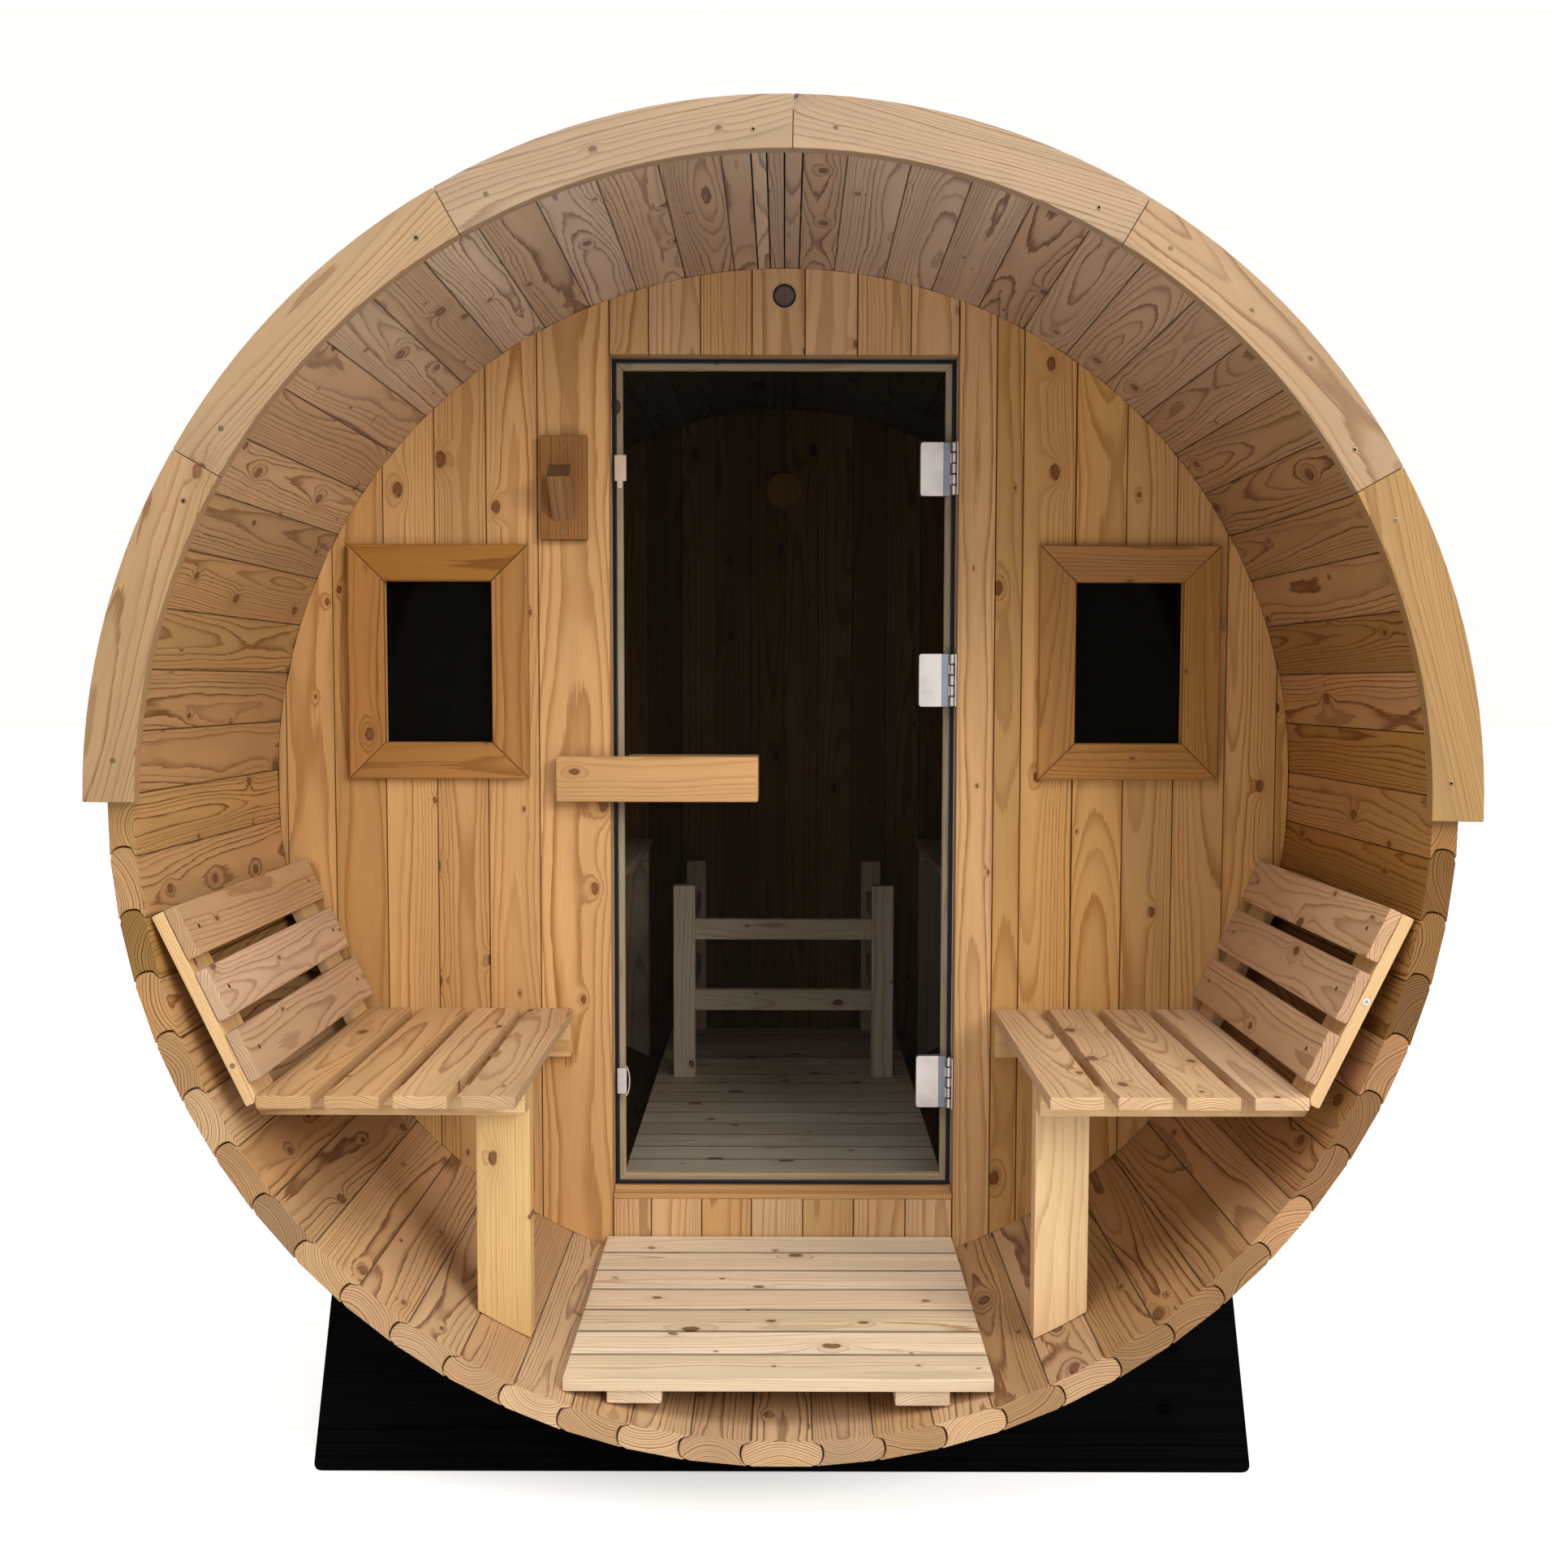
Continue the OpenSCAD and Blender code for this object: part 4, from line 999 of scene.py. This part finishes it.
stock = Stock(190)
GRIP_X, GRIP_Z0, GRIP_Z1, GRIP_MID, GRIP_EASE, SPACER_R = -0.050, 1.1355, 1.2265, 1.181, 0.0045, 0.011
plank(stock, (-0.454, -0.536, GRIP_Z0), (GRIP_X, -0.512, GRIP_Z1), GRIP_EASE, tone=(0.7, 0.5, 0.8))
plank(stock, (-0.318, -0.444, GRIP_Z0), (GRIP_X, -0.420, GRIP_Z1), GRIP_EASE)
for x in (-0.2644, -0.1036):
    for y0, y1 in ((-0.513, -0.4763), (-0.4677, -0.443)):
        points, faces = cylinder((x, y0, GRIP_MID), Y, SPACER_R, y1 - y0, 0.0006)
        stock.board(points, faces, (X, Z, Y), (x, y0, GRIP_MID))
stock.piece("door_handle_boards", HANDLE, "bench_wood", ["door_handle"], body="door")

upper, lower = Parts(), Parts()
CATCH_X, CATCH_Y, LIP_X, LIP_Z, LIP_EASE = -0.3398, -0.4793, -0.3235, 0.5573, 0.0004
upper.block((CATCH_X, CATCH_Y, 1.7765), (-0.3162, ON_GLASS, 1.8281), 0.0012)
upper.block((-0.3345, -0.4788, 1.7625), (-0.3240, ON_GLASS, 1.7775), 0.0010)
upper.piece("upper_catch", CLIP, "vent_plastic", ["door_catches"], body="door")
lower.block((CATCH_X, CATCH_Y, 0.5305), (-0.3205, ON_GLASS, 0.5841), 0.0010)
lip = [(cos(radians(a)), sin(radians(a))) for a in range(-80, 81, 20)]
hook = [(LIP_X + 0.0105 * c, LIP_Z + 0.033 * d) for c, d in lip]
hook += [(LIP_X + 0.0075 * c, LIP_Z + 0.030 * d) for c, d in reversed(lip)]
lower.put(*prism(hook, -0.4790, ON_GLASS, shrink(hook, LIP_EASE), LIP_EASE))
lower.piece("lower_catch", SATIN, "steel", body="door")

# Benches, floors, guard and cradles

def painted_bench_shade(_, axes):
    """Painted shade: the back slats and their uprights are made a little darker and duller than the rest of a
    bench.
    """
    return (-0.8, -0.6, -1.5) if any(0.2 < abs(a.z) < 0.95 for a in axes) else (0.0, 0.0, 0.0)


SLAT_EASE, FRAME_EASE, BOARD_EASE = 0.0035, 0.003, 0.0017
for k, side in enumerate(("left", "right")):
    for j, (node, material, radius) in enumerate((
        ("bench_slats", BENCH, SLAT_EASE), ("bench_frame", PALE, FRAME_EASE),
        ("inner_slats", CABIN, SLAT_EASE), ("inner_frame", CABIN, FRAME_EASE),
    )):
        stock = Stock(200 + 10 * k + j)
        timber(stock, f"{side}_{node}", radius, painted_light_and_shade=painted_bench_shade)
        stock.piece(f"{side}_{node}_boards", material, "bench_wood", [f"{side}_{node}"])
for k, (node, material, trim) in enumerate((
    ("porch_floor_boards", DECK, 0.0010), ("porch_floor_runners", DECK, 0.0),
    ("cabin_floor_boards", CABIN, 0.0012), ("cabin_floor_runners", CABIN, 0.0),
)):
    stock = Stock(230 + k)
    timber(stock, node, BOARD_EASE if trim else FRAME_EASE, trim=trim, flat=node.endswith("runners"))
    stock.piece(node + "_timber", material, "floor_wood", [node])

stock = Stock(240)
gx, gy0, gy1, gz0, gz1 = 0.2925, 0.4777, 1.0977, 0.3226, 0.8376
post_w, post_d, rail_half, rail_x, rail_y = 0.058, 0.042, 0.014, 0.0575, 0.0415
for s in (-1, 1):
    x0, x1 = sorted((s * gx, s * (gx - post_w)))
    for y in (gy0, gy1 - post_d):
        plank(stock, (x0, y, gz0), (x1, y + post_d, gz1), FRAME_EASE)
low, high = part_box("heater_guard")
heights = {round(p.z, 4) for points, _ in solids("heater_guard") for p in points}
rails = sorted(heights - {round(low.z, 4), round(high.z, 4)})
for bottom, top in zip(rails[0::2], rails[1::2]):
    plank(stock, (-gx + rail_x, gy0 + 0.007, bottom), (gx - rail_x, gy0 + 0.035, top), FRAME_EASE)
    for s in (-1, 1):
        mid = s * (gx - post_w / 2)
        x0, x1 = mid - rail_half, mid + rail_half
        plank(stock, (x0, gy0 + rail_y, bottom), (x1, gy1 - rail_y, top), FRAME_EASE)
stock.piece("heater_guard_boards", CABIN, "bench_wood", ["heater_guard"])

CRADLE_CORNER, CRADLE_EASE = 0.016, 0.0018
for k, node in enumerate(("front_cradle", "rear_cradle")):
    stock = Stock(250 + k)
    for points, faces in solids(node):
        low_y, high_y = min(p.y for p in points), max(p.y for p in points)
        front = next(f for f in faces if all(abs(points[i].y - low_y) < 1e-5 for i in f))
        outline = [(points[i].x, points[i].z) for i in front]
        if sum(a[0] * b[1] - b[0] * a[1] for a, b in zip(outline, outline[1:] + outline[:1])) < 0:
            outline.reverse()
        outline = rounded(outline, CRADLE_CORNER, lambda p: p[1] < 1e-4 and abs(p[0]) > 0.1)
        points, faces = prism(outline, low_y, high_y, shrink(outline, CRADLE_EASE), CRADLE_EASE)
        stock.board(points, faces, (Z, Y, X), (0.0, (low_y + high_y) / 2, 0.2))
    stock.piece(node + "_timber", BLACK, "black_wood", [node])

# Screws in the back slats, and the bolt and screw in the uprights' front edges
LEAN, BENCH_FRONT = radians(25.3), -1.1885
for s in (-1, 1):
    face = Vector((-s * cos(LEAN), 0, sin(LEAN)))
    for y in (-1.142, -0.559):
        for x, z in ((0.8588, 0.778), (0.9055, 0.8765), (0.9521, 0.975)):
            at = Vector((s * x, y, z)) + face * 0.0112
            screws.screw(at, face, 0.004, y * 7)
screws.screw((-0.8760, BENCH_FRONT, 0.762), FRONT, 0.0042, 0.2)
screws.piece("wood_screws", SCREW, "steel")
bolt = Parts()
bolt.screw((0.9265, BENCH_FRONT, 0.869), FRONT, 0.0062, 0.5)
bolt.piece("bench_bolt", ZINC, "steel")

# Stage, light and camera

STUDIO, FLOOR_HALF = (1.0, 0.995, 0.985), 40
FLOOR_GLOW, AMBIENT, BACKDROP = 0.56, 0.55, 1.0


def shown(tree):
    """1 for a ray that shows the stage: from the camera, off a gloss or through the glass."""
    path = tree.nodes.new("ShaderNodeLightPath").outputs
    seen = path["Is Camera Ray"]
    for ray in ("Is Glossy Ray", "Is Transmission Ray"):
        either = tree.nodes.new("ShaderNodeMath")
        either.operation = "MAXIMUM"
        tree.links.new(seen, either.inputs[0])
        tree.links.new(path[ray], either.inputs[1])
        seen = either.outputs[0]
    return seen


floor = bpy.data.meshes.new("studio_floor")
corners = [(x * FLOOR_HALF, y * FLOOR_HALF, 0) for x, y in ((-1, -1), (1, -1), (1, 1), (-1, 1))]
floor.from_pydata(corners, [], [(0, 1, 2, 3)])
n = Nodes("studio_floor")
floor.materials.append(n.shade(Base_Color=(0.84, 0.86, 0.88), Roughness=0.9, Specular_IOR_Level=0.0,
                               Emission_Color=STUDIO, Emission_Strength=n.mul(shown(n.tree), FLOOR_GLOW)))
floor = placed("studio_floor", floor)
floor.location.z = -0.0004

world = bpy.data.worlds.new("studio")
bpy.context.scene.world = world
world.use_nodes = True
tree = world.node_tree
back = tree.nodes["Background"]
level = tree.nodes.new("ShaderNodeMapRange")
tree.links.new(shown(tree), level.inputs[0])
level.inputs[3].default_value = AMBIENT
level.inputs[4].default_value = BACKDROP
tree.links.new(level.outputs[0], back.inputs["Strength"])
back.inputs["Color"].default_value = (*STUDIO, 1.0)


def lamp(name, at, aim, size, power, colour=(1.0, 0.98, 0.95)):
    """An area light at one point, aimed at another."""
    data = bpy.data.lights.new(name, "AREA")
    data.shape = "RECTANGLE"
    data.size, data.size_y = size
    data.energy = power
    data.color = colour
    obj = placed(name, data)
    obj.location = at
    obj.rotation_euler = (Vector(aim) - Vector(at)).to_track_quat("-Z", "Y").to_euler()


lamp("key", (4.2, -6.0, 3.9), (-0.1, -0.6, 1.0), (3.2, 2.8), 300)
lamp("sky", (0.2, -3.0, 4.9), (0.0, -0.8, 0.4), (3.2, 2.4), 150, (0.88, 0.94, 1.0))
lamp("fill", (-4.2, -4.2, 2.6), (0.2, -0.6, 1.2), (3.0, 3.0), 8)
lamp("rear", (-3.0, 6.0, 4.5), (0, 0.8, 1.1), (3.5, 3.5), 200)

pitch, yaw, roll = (radians(v) for v in (3.627, 0.019, 0.119))
right = Vector((cos(yaw), sin(yaw), 0))
ahead = Vector((-sin(yaw) * cos(pitch), cos(yaw) * cos(pitch), -sin(pitch)))
up = right.cross(ahead)
right, up = right * cos(roll) + up * sin(roll), up * cos(roll) - right * sin(roll)
EYE, SENSOR, FOCAL_PX, FRAME_PX = (0.00215, -3.64968, 1.36981), 36.0, 1930.5, 1932
camera = bpy.data.cameras.new("camera")
camera.sensor_fit = "HORIZONTAL"
camera.sensor_width = SENSOR
camera.lens = SENSOR * FOCAL_PX / FRAME_PX
camera.clip_end = 200
camera = placed("camera", camera)
camera.matrix_world = Matrix((*((right[i], up[i], -ahead[i], EYE[i]) for i in range(3)), (0, 0, 0, 1)))
bpy.context.scene.camera = camera
bpy.context.scene.view_settings.view_transform = "Standard"
